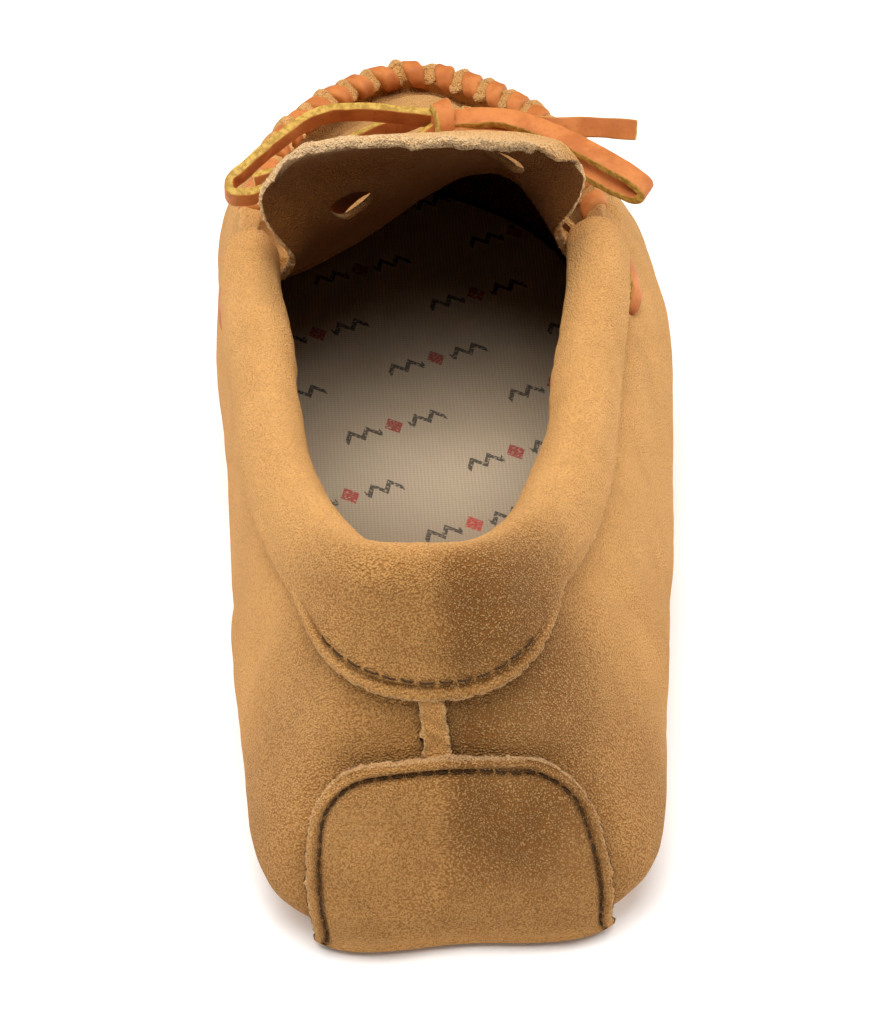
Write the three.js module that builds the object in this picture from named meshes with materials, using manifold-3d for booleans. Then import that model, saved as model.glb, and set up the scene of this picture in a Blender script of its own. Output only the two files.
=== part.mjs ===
// A right-foot soft-sole moccasin in suede: one leather body that wraps under the foot, a second
// sole whose heel tab folds up the back, a plug whip-laced to the body round the toes, a tongue,
// and a rolled collar that hides a lace tied in a bow on the tongue.
// Millimetres, +Z up, the toe towards +Y and the outer side of the foot towards +X.
import * as THREE from 'three';
import { mergeVertices } from 'three/addons/utils/BufferGeometryUtils.js';
import Module from 'manifold-3d';

const wasm = await Module();
wasm.setup();

// ---- driving dimensions ----
const GAP = 0.35; // air between pieces that lie on each other
const SUEDE = 1.8; // body, collar, plug and tongue leather
const SOLE_THICK = 2.0; // second sole and its heel tab
const FOAM_THICK = 4.5;
const LINER_THICK = 0.8;
const THREAD = 0.9; // thread diameter
const THONG = { width: 4.4, thick: 1.9 }; // flat leather lace
const AROUND = 60; // samples round the shoe
const FRONT = AROUND / 3; // sample where the collar ends and the laced seam begins, on the outer side
const TOE = AROUND / 2; // sample at the tip of the toe
const WHIPS = 21; // turns of the toe lace

// ---- the body's wall: four rings through twelve stations, heel centre first, outer side next ----
const RINGS = {
  sole: [
    [0, 5], [27, 8.5], [33, 42], [39.5, 98], [46, 164], [35, 222],
    [0, 248], [-29, 225], [-37.5, 171], [-34, 102], [-32, 42], [-26.5, 7],
  ].map(([x, y]) => [x, y, SOLE_THICK + GAP]),
  belly: [
    [0, 5.5, 15], [33, 9, 14], [42.5, 50, 18], [48.5, 104, 20], [52.5, 166, 24], [43, 222, 22],
    [1, 255, 19], [-36, 227, 20], [-42.5, 170, 22], [-40.5, 106, 20], [-40, 52, 18], [-34.5, 8, 13.5],
  ],
  shoulder: [
    [-3, 12, 42], [20, 16, 43], [36, 52, 42], [42.5, 103, 41], [47.5, 158, 44], [39, 209, 39],
    [1, 248, 35], [-34, 212, 39], [-41.5, 158, 44], [-40, 104, 41], [-37.5, 52, 42], [-27, 15, 43],
  ],
  rim: [
    [-6, 20.5, 69], [10.5, 25.5, 69], [24.5, 56, 65], [33, 104, 60], [38, 152, 60], [29, 205, 54],
    [1, 239, 46], [-26, 205, 54], [-38, 152, 60], [-37, 104, 60], [-33, 56, 65], [-22.5, 25.5, 69],
  ],
};
const RING_HEIGHTS = [0, 0.3, 0.68, 1]; // where the rings lie on the way up the wall

const vec = (p) => new THREE.Vector3(...p);
const closedCurves = Object.values(RINGS).map(
  (ring) => new THREE.CatmullRomCurve3(ring.map(vec), true, 'catmullrom', 0.5),
);
const clamp = THREE.MathUtils.clamp;
const lerp = THREE.MathUtils.lerp;
const smooth = (x) => THREE.MathUtils.smoothstep(x, 0, 1);
const range = (count) => Array.from({ length: count }, (_, i) => i);
const steps = (from, to, count) => range(count + 1).map((i) => lerp(from, to, i / count));

// A point of the wall's outer face: turn is the sample round the shoe, up runs from sole to rim.
function wall(turn, up) {
  const t = THREE.MathUtils.euclideanModulo(turn / AROUND, 1);
  const points = closedCurves.map((curve) => curve.getPoint(t));
  const k = clamp(RING_HEIGHTS.findLastIndex((h) => up >= h), 0, 2);
  const f = (up - RING_HEIGHTS[k]) / (RING_HEIGHTS[k + 1] - RING_HEIGHTS[k]);
  const slope = (j) => {
    const a = Math.max(j - 1, 0);
    const b = Math.min(j + 1, 3);
    return points[b].clone().sub(points[a]).divideScalar(RING_HEIGHTS[b] - RING_HEIGHTS[a]);
  };
  const h = RING_HEIGHTS[k + 1] - RING_HEIGHTS[k];
  return points[k].clone().multiplyScalar(2 * f ** 3 - 3 * f ** 2 + 1)
    .addScaledVector(slope(k), h * (f ** 3 - 2 * f ** 2 + f))
    .addScaledVector(points[k + 1], 3 * f ** 2 - 2 * f ** 3)
    .addScaledVector(slope(k + 1), h * (f ** 3 - f ** 2));
}

function wallNormal(turn, up) {
  const d = 0.02;
  const along = wall(turn + 0.5, up).sub(wall(turn - 0.5, up));
  const rise = wall(turn, Math.min(up + d, 1)).sub(wall(turn, Math.max(up - d, 0)));
  return along.cross(rise).normalize();
}

// The wall moved out by a distance, or in by a negative one.
const skin = (turn, up, out) => wall(turn, up).addScaledVector(wallNormal(turn, up), out);

// ---- solids from grids of points ----
function meshOf(points, faces) {
  const geometry = new THREE.BufferGeometry().setFromPoints(points);
  geometry.setIndex(faces.flat());
  return geometry;
}

// A closed sheet between two grids of the same size, upper facing out.
function sheet(upper, lower) {
  const rows = upper.length;
  const columns = upper[0].length;
  const low = rows * columns;
  const at = (i, j) => i * columns + j;
  const faces = [];
  const quad = (a, b, c, d) => faces.push([a, b, c], [a, c, d]);
  for (let i = 0; i < rows - 1; i += 1) {
    for (let j = 0; j < columns - 1; j += 1) {
      quad(at(i, j), at(i, j + 1), at(i + 1, j + 1), at(i + 1, j));
      quad(low + at(i, j), low + at(i + 1, j), low + at(i + 1, j + 1), low + at(i, j + 1));
    }
    quad(at(i, 0), at(i + 1, 0), low + at(i + 1, 0), low + at(i, 0));
    const last = columns - 1;
    quad(at(i, last), low + at(i, last), low + at(i + 1, last), at(i + 1, last));
  }
  const end = rows - 1;
  for (let j = 0; j < columns - 1; j += 1) {
    quad(at(0, j), low + at(0, j), low + at(0, j + 1), at(0, j + 1));
    quad(at(end, j), at(end, j + 1), low + at(end, j + 1), low + at(end, j));
  }
  return facingOut(meshOf([...upper.flat(), ...lower.flat()], faces));
}

// The same solid with its faces turned to point out.
function facingOut(geometry) {
  const p = geometry.attributes.position;
  const index = geometry.index.array;
  const [a, b, c] = range(3).map(() => new THREE.Vector3());
  let volume = 0;
  for (let i = 0; i < index.length; i += 3) {
    [a, b, c].forEach((v, k) => v.fromBufferAttribute(p, index[i + k]));
    volume += a.dot(b.cross(c));
  }
  if (volume < 0) {
    for (let i = 0; i < index.length; i += 3) {
      [index[i + 1], index[i + 2]] = [index[i + 2], index[i + 1]];
    }
  }
  return geometry;
}

// Each grid point's normal, from its neighbours.
function gridNormals(grid) {
  const rows = grid.length;
  return grid.map((row, i) => row.map((_, j) => {
    const along = grid[Math.min(i + 1, rows - 1)][j].clone().sub(grid[Math.max(i - 1, 0)][j]);
    const across = row[Math.min(j + 1, row.length - 1)].clone().sub(row[Math.max(j - 1, 0)]);
    return along.cross(across).normalize();
  }));
}

// A sheet of one thickness, with the grid as one face.
function padOut(grid, thick) {
  const normals = gridNormals(grid);
  const other = grid.map((row, i) => row.map(
    (p, j) => p.clone().addScaledVector(normals[i][j], thick),
  ));
  return sheet(grid, other);
}

// A flat plate from an outline of points.
function plate(outline, bottom, thick) {
  const shape = new THREE.Shape(outline.map((p) => new THREE.Vector2(p.x, p.y)));
  const geometry = new THREE.ExtrudeGeometry(shape, { depth: thick, bevelEnabled: false });
  return geometry.translate(0, 0, bottom);
}

// A flat strap through points, its width along the given directions.
function strap(points, across, width, thick) {
  const centre = points.map((p, i) => {
    const side = across[i].clone().normalize();
    const next = points[Math.min(i + 1, points.length - 1)];
    const along = next.clone().sub(points[Math.max(i - 1, 0)]).normalize();
    side.addScaledVector(along, -side.dot(along)).normalize();
    return { p, side, face: side.clone().cross(along).normalize() };
  });
  const faceGrid = (out) => centre.map(({ p, side, face }) => [-0.5, 0.5].map(
    (s) => p.clone().addScaledVector(side, s * width).addScaledVector(face, out),
  ));
  return sheet(faceGrid(thick / 2), faceGrid(-thick / 2));
}

// A round thread along a curve, as an extruded hexagon.
function thread(points, sides = 6) {
  const section = new THREE.Shape(range(sides).map((k) => {
    const angle = (2 * Math.PI * k) / sides;
    return new THREE.Vector2(Math.cos(angle), Math.sin(angle)).multiplyScalar(THREAD / 2);
  }));
  const extrudePath = new THREE.CatmullRomCurve3(points, false, 'centripetal');
  return new THREE.ExtrudeGeometry(section, { steps: points.length - 1, extrudePath });
}

// ---- booleans ----
function toSolid(geometry) {
  const bare = new THREE.BufferGeometry().setAttribute('position', geometry.getAttribute('position'));
  if (geometry.index) bare.setIndex(geometry.index);
  const merged = mergeVertices(bare, 1e-4);
  return new wasm.Manifold(new wasm.Mesh({
    numProp: 3,
    vertProperties: new Float32Array(merged.attributes.position.array),
    triVerts: new Uint32Array(merged.index.array),
  }));
}

function toGeometry(solid) {
  const mesh = solid.getMesh();
  const geometry = new THREE.BufferGeometry();
  geometry.setAttribute('position', new THREE.BufferAttribute(mesh.vertProperties, 3));
  geometry.setIndex(new THREE.BufferAttribute(mesh.triVerts, 1));
  return geometry;
}

// A piece less its tools, without any sliver they leave.
function cut(geometry, ...tools) {
  const left = tools.reduce((solid, tool) => solid.subtract(toSolid(tool)), toSolid(geometry));
  const whole = left.decompose().sort((a, b) => b.volume() - a.volume())[0];
  return toGeometry(whole.simplify(0.03));
}

// ---- body, soles and insole ----
const turns = range(AROUND);
const solePoint = (turn, inset) => {
  const p = skin(turn, 0, 0);
  const n = wallNormal(turn, 0).setZ(0).normalize();
  return p.addScaledVector(n, -inset);
};
const WALL_ROWS = [0, 0.1, 0.2, 0.32, 0.45, 0.58, 0.7, 0.8, 0.9, 1];

// The leather body: the wall all round and the floor under the foot, closed as one cup.
function bodyGeometry() {
  const rings = [
    turns.map((t) => wall(t, 0)),
    ...WALL_ROWS.slice(1).map((u) => turns.map((t) => wall(t, u))),
    ...[...WALL_ROWS.slice(1)].reverse().map((u) => turns.map((t) => skin(t, u, -SUEDE))),
    turns.map((t) => solePoint(t, 1.2).setZ(SOLE_THICK + GAP + SUEDE)),
  ];
  const cap = (ring) => THREE.ShapeUtils.triangulateShape(
    ring.map((p) => new THREE.Vector2(p.x, p.y)), [],
  );
  const faces = [];
  for (let k = 0; k < rings.length - 1; k += 1) {
    turns.forEach((i) => {
      const j = (i + 1) % AROUND;
      const [a, b] = [k * AROUND, (k + 1) * AROUND];
      faces.push([a + i, a + j, b + j], [a + i, b + j, b + i]);
    });
  }
  const top = (rings.length - 1) * AROUND;
  cap(rings[0]).forEach(([a, b, c]) => faces.push([a, c, b]));
  cap(rings.at(-1)).forEach(([a, b, c]) => faces.push([top + a, top + b, top + c]));
  return facingOut(meshOf(rings.flat(), faces));
}

const insoleOutline = (inset) => turns.map((t) => solePoint(t, inset));
const BODY_FLOOR = SOLE_THICK + GAP + SUEDE;
const foamGeometry = plate(insoleOutline(3.4), BODY_FLOOR + GAP, FOAM_THICK);
const linerGeometry = plate(insoleOutline(3.8), BODY_FLOOR + 2 * GAP + FOAM_THICK, LINER_THICK);

// ---- heel tab: the back end of the second sole, folded up over the back seam ----
const TAB = { waist: 3.75, foot: 1.1, head: 0.45, top: 0.65 }; // samples each side, height up the wall
const TAB_COLUMNS = steps(-1, 1, 10);
const TAB_ROWS = steps(0, 1, 6);
const tabTop = (s) => TAB.top * (1 - 0.2 * Math.abs(s) ** 8);
const tabHalf = (rise) => TAB.waist + TAB.foot * Math.max(0, 1 - rise / 0.45) ** 2
  + TAB.head * smooth((rise - 0.45) / 0.55);

function tabPoint(s, rise, out) {
  return skin(tabHalf(rise) * s, rise * tabTop(s), out);
}

function outerSoleGeometry() {
  const sole = toSolid(plate(turns.map((t) => solePoint(t, 0.5)), 0, SOLE_THICK));
  const tab = [2 * GAP + SOLE_THICK, 2 * GAP].map((out) => TAB_COLUMNS.map((s) => [
    tabPoint(s, 0, out).setZ(0.2), ...TAB_ROWS.map((r) => tabPoint(s, r, out)),
  ]));
  const foot = plate([
    ...TAB_COLUMNS.map((s) => tabPoint(s, 0, 2 * GAP + SOLE_THICK)),
    ...[...TAB_COLUMNS].reverse().map((s) => tabPoint(s, 0, -6)),
  ], 0, SOLE_THICK);
  return toGeometry(toSolid(sheet(...tab)).add(sole).add(toSolid(foot)));
}

// ---- collar: a band folded over the wall's edge, deepest at the heel ----
const COLLAR_END = FRONT - 0.9;
const COLLAR_TURNS = steps(-COLLAR_END, COLLAR_END, 2 * FRONT);
const ROLL = { out: 2.4, in: 9.5, rise: 8.5 }; // how far the roll swells from the wall's edge

const collarLow = (turn) => Math.min(0.93, 0.795 + 0.0029 * turn ** 2); // the hem dips at the heel

// The fold's outer face from its outside hem over the top to its inside hem, and the air inside it.
function collarProfile(turn, inside) {
  const t = inside ? SUEDE : 0;
  const low = collarLow(turn);
  const edge = wall(turn, 1);
  const out = wallNormal(turn, 1).setZ(0).normalize();
  const roll = (x, z) => edge.clone().addScaledVector(out, x).add(new THREE.Vector3(0, 0, z));
  const outerLeg = steps(low, 0.97, 3).map((u, k) => skin(
    turn, u, GAP + SUEDE - t + (ROLL.out - SUEDE - GAP) * smooth(k / 3),
  ));
  const middle = (ROLL.out - ROLL.in) / 2;
  const wide = (ROLL.out + ROLL.in) / 2 - t;
  const arch = steps(20, 160, 6).map((degrees) => {
    const a = THREE.MathUtils.degToRad(degrees);
    return roll(middle + wide * Math.cos(a), (ROLL.rise - t) * Math.sin(a));
  });
  const innerLeg = steps(0.97, 0.84, 2).map((u, k) => skin(
    turn, u, -(SUEDE + GAP + SUEDE - t) - (ROLL.in - 2 * SUEDE - GAP) * (1 - smooth(k / 2)),
  ));
  return [...outerLeg, ...arch, ...innerLeg];
}

const collarGeometry = () => sheet(
  COLLAR_TURNS.map((t) => collarProfile(t, false)),
  COLLAR_TURNS.map((t) => collarProfile(t, true)),
);

// ---- plug: the panel over the toes, its edge turned up against the wall ----
const PLUG_ENDS = [TOE - 1, TOE - 0.6]; // the last rows, where the seam closes round the toe
const ACROSS = [-1, -0.8, -0.62, -0.4, -0.2, 0, 0.2, 0.4, 0.62, 0.8, 1];
const FLANGE = GAP + 2 * SUEDE; // the flange's inner face from the wall's outer face
const VALLEY = 7; // width of the flat valley beside the flange
const instep = (turn) => ((TOE - turn) / (TOE - FRONT)) ** 1.1; // 1 at the instep, 0 at the toe
const crown = (turn) => lerp(2, 21, instep(turn));
const valleyUp = (turn) => lerp(0.9, 0.8, smooth((TOE - turn) / 5)); // its place on the wall
const SKEW = 1; // how much more the instep stands up on the outer side of the foot

const arch = (side, power) => (1 - side ** 2) ** power;

// The plug's upper face: side -1 is the inner side of the foot, turn runs from instep to toe.
function plugPoint(turn, side) {
  const [outer, inner] = [turn, -turn].map((t) => skin(t, valleyUp(turn), -FLANGE));
  const width = outer.distanceTo(inner);
  const reach = Math.max(1 - (2 * VALLEY) / width, 0.3);
  const within = clamp(side / reach, -1, 1);
  const height = crown(turn) * smooth((width - 3.4 * VALLEY) / (2.2 * VALLEY));
  const p = inner.lerp(outer, (side + 1) / 2);
  p.z += height * (arch(within, 0.75) + SKEW * instep(turn) * within * (1 - within ** 2));
  return p;
}

const plugRow = (turn) => [
  skin(-turn, 1, -FLANGE), skin(-turn, 0.95, -FLANGE),
  ...ACROSS.map((s) => plugPoint(turn, s)),
  skin(turn, 0.95, -FLANGE), skin(turn, 1, -FLANGE),
];

// ---- tongue: the plug's end stands up behind the bow, and its free flap folds back from there ----
const TONGUE = {
  left: [[-28, 147, 58], [-26, 139, 61], [-27.5, 138, 67], [-32, 139, 74], [-33, 137.5, 82], [-28, 134.5, 91]],
  middle: [[2, 146, 79], [1, 143.5, 81.5], [0, 141, 85], [0, 138, 89], [0, 135, 93], [0, 131.5, 97]],
  right: [[27, 147.5, 61], [25.2, 141, 65], [27.2, 139.5, 70], [31, 138.5, 75], [30.5, 137, 82], [26, 135, 88]],
};
const [leftEdge, middleLine, rightEdge] = Object.values(TONGUE).map(
  (line) => new THREE.CatmullRomCurve3(line.map(vec)),
);
const foldUp = (side) => 0.22 + 0.3 * Math.abs(side) ** 1.5; // where the free flap starts
const TONGUE_SIDES = steps(-1, 1, 14);

function tonguePoint(side, up) {
  const [l, m, r] = [leftEdge, middleLine, rightEdge].map((line) => line.getPoint(up));
  const chord = l.clone().lerp(r, (side + 1) / 2);
  const rise = m.sub(l.add(r).multiplyScalar(0.5));
  const lean = SKEW * (1 - up) ** 2 * side * (1 - side ** 2);
  chord.addScaledVector(rise, arch(side, lerp(0.75, 0.45, up)) + lean);
  return plugPoint(FRONT, side * 0.94).lerp(chord, smooth(0.25 + up * 1.6));
}

// The tongue's face towards the toe: its point, the way up it and the way out of it.
function tongueFrame(side, up) {
  const point = tonguePoint(side, up);
  const rise = tonguePoint(side, up + 0.05).sub(point).normalize();
  const near = tonguePoint(side + 0.05, up).sub(point).normalize();
  return { point, rise, out: rise.clone().cross(near).normalize(), near };
}

const rootRow = (share) => TONGUE_SIDES.map((s) => tonguePoint(s, share * foldUp(s)));
const flapRow = (share) => TONGUE_SIDES.map((s) => tonguePoint(s, lerp(foldUp(s) + 0.015, 1, share)));
const plugTurns = [...range(TOE - FRONT - 1).map((k) => FRONT + k), ...PLUG_ENDS];
const plugGrid = [...steps(1, 0.25, 3).map(rootRow), ...plugTurns.map(plugRow)];
const flapGrid = steps(1, 0, 6).map(flapRow);

// The slots the lace passes through, one each side of the tongue.
const SLOT = { side: 0.55, up: 0.26, long: 8, wide: 3 };
function slotCutter(side) {
  const { point, out, near } = tongueFrame(side, SLOT.up);
  const points = [-6, 6].map((d) => point.clone().addScaledVector(out, d));
  return strap(points, [near, near], SLOT.long, SLOT.wide);
}

// ---- toe lace: one thong whipped over the seam, straight through both leathers each time ----
// One turn's way: across the seam from the plug's side, height over the seam's edge, share of pitch.
const WHIP_TURN = [
  [-3.6, -2.2, 0], [-3.9, -0.5, 0.12], [-2.8, 1.3, 0.3], [0, 1.9, 0.5],
  [2.8, 1.3, 0.7], [4.3, -0.4, 0.88], [4.3, -2.2, 1],
];
const SEAM = { from: FRONT + 0.7, to: AROUND - FRONT - 0.7, middle: SUEDE + GAP / 2 };
const seamLine = new THREE.CatmullRomCurve3(steps(SEAM.from, SEAM.to, 160).map((t) => wall(t, 1)));
seamLine.arcLengthDivisions = 800;

function seamPoint(share, across, height) {
  const turn = lerp(SEAM.from, SEAM.to, seamLine.getUtoTmapping(share));
  const rise = wall(turn, 1).sub(wall(turn, 0.9)).normalize();
  const point = skin(turn, 1, -SEAM.middle).addScaledVector(wallNormal(turn, 1), across);
  const along = wall(turn + 0.5, 1).sub(wall(turn - 0.5, 1)).normalize();
  return { point: point.addScaledVector(rise, height), along };
}

const whipWay = range(WHIPS).flatMap((n) => WHIP_TURN.map(
  ([across, height, share]) => seamPoint((n + share) / WHIPS, across, height),
));
const toeLaceGeometry = strap(
  whipWay.map(({ point }) => point), whipWay.map(({ along }) => along), THONG.width, THONG.thick,
);
const whipHoles = range(WHIPS + 1).map((n) => {
  const ends = [-6, 6].map((across) => seamPoint(n / WHIPS, across, WHIP_TURN[0][1]));
  const directions = ends.map(({ along }) => along);
  return strap(ends.map(({ point }) => point), directions, THONG.width + 2 * GAP, THONG.thick + 2 * GAP);
});

// ---- the lace that runs inside the collar, and its bow on the tongue ----
const UP = new THREE.Vector3(0, 0, 1);
const curveThrough = (points, count) => new THREE.CatmullRomCurve3(
  points.map(vec), false, 'centripetal',
).getSpacedPoints(count);
const lace = (points, count, across = UP) => strap(
  curveThrough(points, count), range(count + 1).map(() => across), THONG.width, THONG.thick,
);
const collarLacePoints = steps(-FRONT + 2, FRONT - 2, 32).map((t) => {
  const out = wallNormal(t, 1).setZ(0).normalize();
  return wall(t, 1).addScaledVector(out, (ROLL.out - ROLL.in) / 2 + 0.4).addScaledVector(UP, 3.4);
});
const collarLaceGeometry = strap(
  collarLacePoints, collarLacePoints.map(() => UP), THONG.width, THONG.thick,
);

// The lace shows for a short way on the wall below each end of the collar.
const SIDE_RUN = { from: FRONT - 2.3, to: FRONT - 0.8, up: 0.85, below: 0.8 };
const sideLace = (sign) => {
  const turnsAlong = steps(SIDE_RUN.from, SIDE_RUN.to, 6).map((t) => sign * t);
  return strap(
    turnsAlong.map((t) => skin(t, SIDE_RUN.up, GAP + THONG.thick / 2)),
    turnsAlong.map((t) => wall(t, SIDE_RUN.up).sub(wall(t, SIDE_RUN.below))),
    THONG.width, THONG.thick,
  );
};

const BOW = {
  knot: [4.5, 161.5, 81.5],
  left: [
    [0.1, 164, 80.6], [-5.6, 164.5, 81.4], [-12.6, 164, 82.5], [-18.6, 162.5, 83.1], [-23.4, 160, 82.9],
    [-28.5, 155.5, 81.8], [-33, 151.8, 80.2], [-36.6, 148.8, 78.4], [-39.2, 147, 76.9], [-39.2, 144.7, 75.7],
    [-36, 144.6, 75.2], [-31.5, 146.6, 75.6], [-27, 149.5, 75.4], [-20, 153.3, 75], [-12, 156, 75.6],
    [-5, 157.8, 77], [0.1, 158.5, 78.3],
  ],
  right: [
    [8.9, 163.5, 80.2], [15.4, 163, 80.8], [20.5, 161.5, 80.5], [26.4, 158.5, 79.6], [32.3, 154.5, 78.6],
    [38.1, 150, 77.3], [42.7, 146.8, 75.8], [44.9, 145.2, 74], [43.8, 145.9, 72.2], [40, 148.6, 72.3],
    [34.3, 152.5, 73.6], [28.4, 156, 75], [22.4, 158.8, 76.4], [15, 160.5, 77.6], [8.9, 161, 78.6],
  ],
  tailRight: [[8.9, 168.3, 77.9], [17, 169.5, 75.2], [27.3, 169, 74.2], [36, 168, 74.6], [44.9, 166, 74.9]],
  tailLeft: [[0, 168.3, 78.5], [-12, 168.5, 72.5], [-24, 167.5, 66.5], [-34, 166, 64.5]],
};
const FLAT = new THREE.Vector3(0.5, 0.82, 0.25); // the right loop's width, lying nearly flat
const KNOT_SIZE = [4, 4.6, 4.4];
const knotGeometry = new THREE.SphereGeometry(1, 14, 9).scale(...KNOT_SIZE).translate(...BOW.knot);

// From the end of the seam up the tongue's front, past its slot, to the knot.
const TONGUE_LACE = [[0.84, 0.2], [0.7, 0.23], [SLOT.side, SLOT.up], [0.32, SLOT.up]]; // side, up
function tongueLace(sign) {
  const frames = TONGUE_LACE.map(([side, up]) => tongueFrame(sign * side, up));
  const points = frames.map(({ point, out }) => point.addScaledVector(out, 3 * GAP + THONG.thick));
  const end = new THREE.Vector3(BOW.knot[0] + sign * 3, BOW.knot[1] - 5.5, BOW.knot[2] + 0.6);
  const path = new THREE.CatmullRomCurve3([...points, end], false, 'centripetal');
  const spaced = path.getSpacedPoints(12);
  return strap(spaced, spaced.map(() => frames[2].rise), THONG.width, THONG.thick);
}

// ---- threads ----
const collarThreadPoints = steps(-5.3, 4.7, 24).map(
  (t) => skin(t, collarLow(t) + 0.03, 2 * GAP + SUEDE + THREAD / 2 + 0.3),
);
const tabThreadPoints = [
  ...steps(0.08, 0.8, 6).map((r) => [-0.92, r]),
  ...steps(-0.86, 0.86, 14).map((s) => [s, 0.93]),
  ...steps(0.8, 0.08, 6).map((r) => [0.92, r]),
].map(([s, r]) => tabPoint(s, r, 3 * GAP + SOLE_THICK + THREAD / 2));
const TAPE = { half: 0.75, low: 0.66, high: 0.78, thick: 1 }; // samples each side, heights up the wall
const tapeGeometry = padOut(
  steps(-TAPE.half, TAPE.half, 4).map(
    (t) => steps(TAPE.low, TAPE.high, 2).map((u) => skin(t, u, GAP)),
  ), TAPE.thick,
);

const material = (color, roughness) => new THREE.MeshStandardMaterial({ color, roughness, metalness: 0 });
const SUEDE_TAN = material('#c8985a', 0.95);
const THONG_RUST = material('#b5653a', 0.6);
const THREAD_BROWN = material('#4a3524', 0.8);
const FOAM_CREAM = material('#d9cdb4', 0.95);
const LINER_CREAM = material('#c9b9a3', 0.9);

const slots = [-SLOT.side, SLOT.side].map(slotCutter);
const pieces = [
  ['outer_sole', outerSoleGeometry(), SUEDE_TAN],
  ['leather_body', cut(bodyGeometry(), ...whipHoles), SUEDE_TAN],
  ['plug', cut(padOut(plugGrid, SUEDE), ...whipHoles, ...slots), SUEDE_TAN],
  ['tongue_flap', padOut(flapGrid, SUEDE), SUEDE_TAN],
  ['collar', collarGeometry(), SUEDE_TAN],
  ['back_seam_tape', tapeGeometry, SUEDE_TAN],
  ['toe_lace', toeLaceGeometry, THONG_RUST],
  ['collar_lace', collarLaceGeometry, THONG_RUST],
  ['side_lace_left', sideLace(-1), THONG_RUST],
  ['side_lace_right', sideLace(1), THONG_RUST],
  ['tongue_lace_left', tongueLace(-1), THONG_RUST],
  ['tongue_lace_right', tongueLace(1), THONG_RUST],
  ['bow_knot', knotGeometry, THONG_RUST],
  ['bow_loop_left', lace(BOW.left, 36), THONG_RUST],
  ['bow_loop_right', lace(BOW.right, 36, FLAT), THONG_RUST],
  ['bow_tail_left', lace(BOW.tailLeft, 12), THONG_RUST],
  ['bow_tail_right', lace(BOW.tailRight, 12), THONG_RUST],
  ['insole_foam', foamGeometry, FOAM_CREAM],
  ['sock_liner', linerGeometry, LINER_CREAM],
  ['collar_thread', thread(collarThreadPoints), THREAD_BROWN],
  ['heel_tab_thread', thread(tabThreadPoints), THREAD_BROWN],
];

const shoe = new THREE.Group();
pieces.forEach(([name, geometry, look]) => {
  const mesh = new THREE.Mesh(geometry, look);
  mesh.name = name;
  shoe.add(mesh);
});

// The origin is under the middle of the shoe, the bow's free cords left out.
const fixed = new THREE.Box3();
shoe.children.filter(({ name }) => !/loop|tail/.test(name)).forEach((mesh) => fixed.expandByObject(mesh));
shoe.position.copy(fixed.getCenter(new THREE.Vector3())).setZ(fixed.min.z).negate();

export default shoe;
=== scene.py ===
# A right-foot soft-sole suede moccasin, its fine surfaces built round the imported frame.
# Lengths are millimetres in a working frame, the heel at its origin, until they are put into a mesh.
import math

import bmesh
import bpy
import numpy as np
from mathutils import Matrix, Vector


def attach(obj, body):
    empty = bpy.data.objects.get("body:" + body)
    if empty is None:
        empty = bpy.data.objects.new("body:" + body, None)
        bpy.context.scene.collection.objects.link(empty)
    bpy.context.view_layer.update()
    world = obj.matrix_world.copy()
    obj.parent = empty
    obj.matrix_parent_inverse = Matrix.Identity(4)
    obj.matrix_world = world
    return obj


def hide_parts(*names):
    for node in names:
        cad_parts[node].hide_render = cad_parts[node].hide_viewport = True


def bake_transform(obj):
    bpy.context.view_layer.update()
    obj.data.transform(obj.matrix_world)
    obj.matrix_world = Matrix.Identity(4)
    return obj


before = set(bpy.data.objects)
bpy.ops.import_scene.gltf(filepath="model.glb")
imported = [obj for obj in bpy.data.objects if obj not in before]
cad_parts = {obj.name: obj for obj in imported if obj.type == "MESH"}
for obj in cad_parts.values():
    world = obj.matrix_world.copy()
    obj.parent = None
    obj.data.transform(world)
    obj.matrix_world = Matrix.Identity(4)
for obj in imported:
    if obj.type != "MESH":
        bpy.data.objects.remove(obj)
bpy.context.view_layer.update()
scene = bpy.context.scene

SHIFT = np.array([-4.8347, -127.3126, 0.0])  # from the working frame to the part's frame


def metres(points):
    return (np.asarray(points, float) + SHIFT) * 0.001


# ---- camera: looking at the heel from behind and above ----
CAMERA_AZIMUTH, CAMERA_ELEVATION, CAMERA_AWAY, CAMERA_AIM = -3, 36, 0.9, (0, 128, 35)


def make_camera():
    azimuth, elevation = math.radians(CAMERA_AZIMUTH), math.radians(CAMERA_ELEVATION)
    back = Vector((math.sin(azimuth) * math.cos(elevation),
                   -math.cos(azimuth) * math.cos(elevation), math.sin(elevation)))
    data = bpy.data.cameras.new("camera")
    data.lens, data.sensor_width = 155.24, 36
    data.shift_x, data.shift_y = 0.0110, -0.1071
    data.clip_start, data.clip_end = 0.05, 20
    camera = bpy.data.objects.new("camera", data)
    camera.location = Vector(metres(CAMERA_AIM)) + back * CAMERA_AWAY
    camera.rotation_euler = (-back).to_track_quat("-Z", "Y").to_euler()
    scene.collection.objects.link(camera)
    scene.camera = camera


make_camera()

# ---- dimensions shared with the frame ----
GAP, SUEDE, SOLE_THICK, FOAM_THICK, LINER_THICK = 0.35, 1.8, 2.0, 4.5, 0.8
THONG_WIDTH, THONG_THICK = 4.4, 1.9
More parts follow.
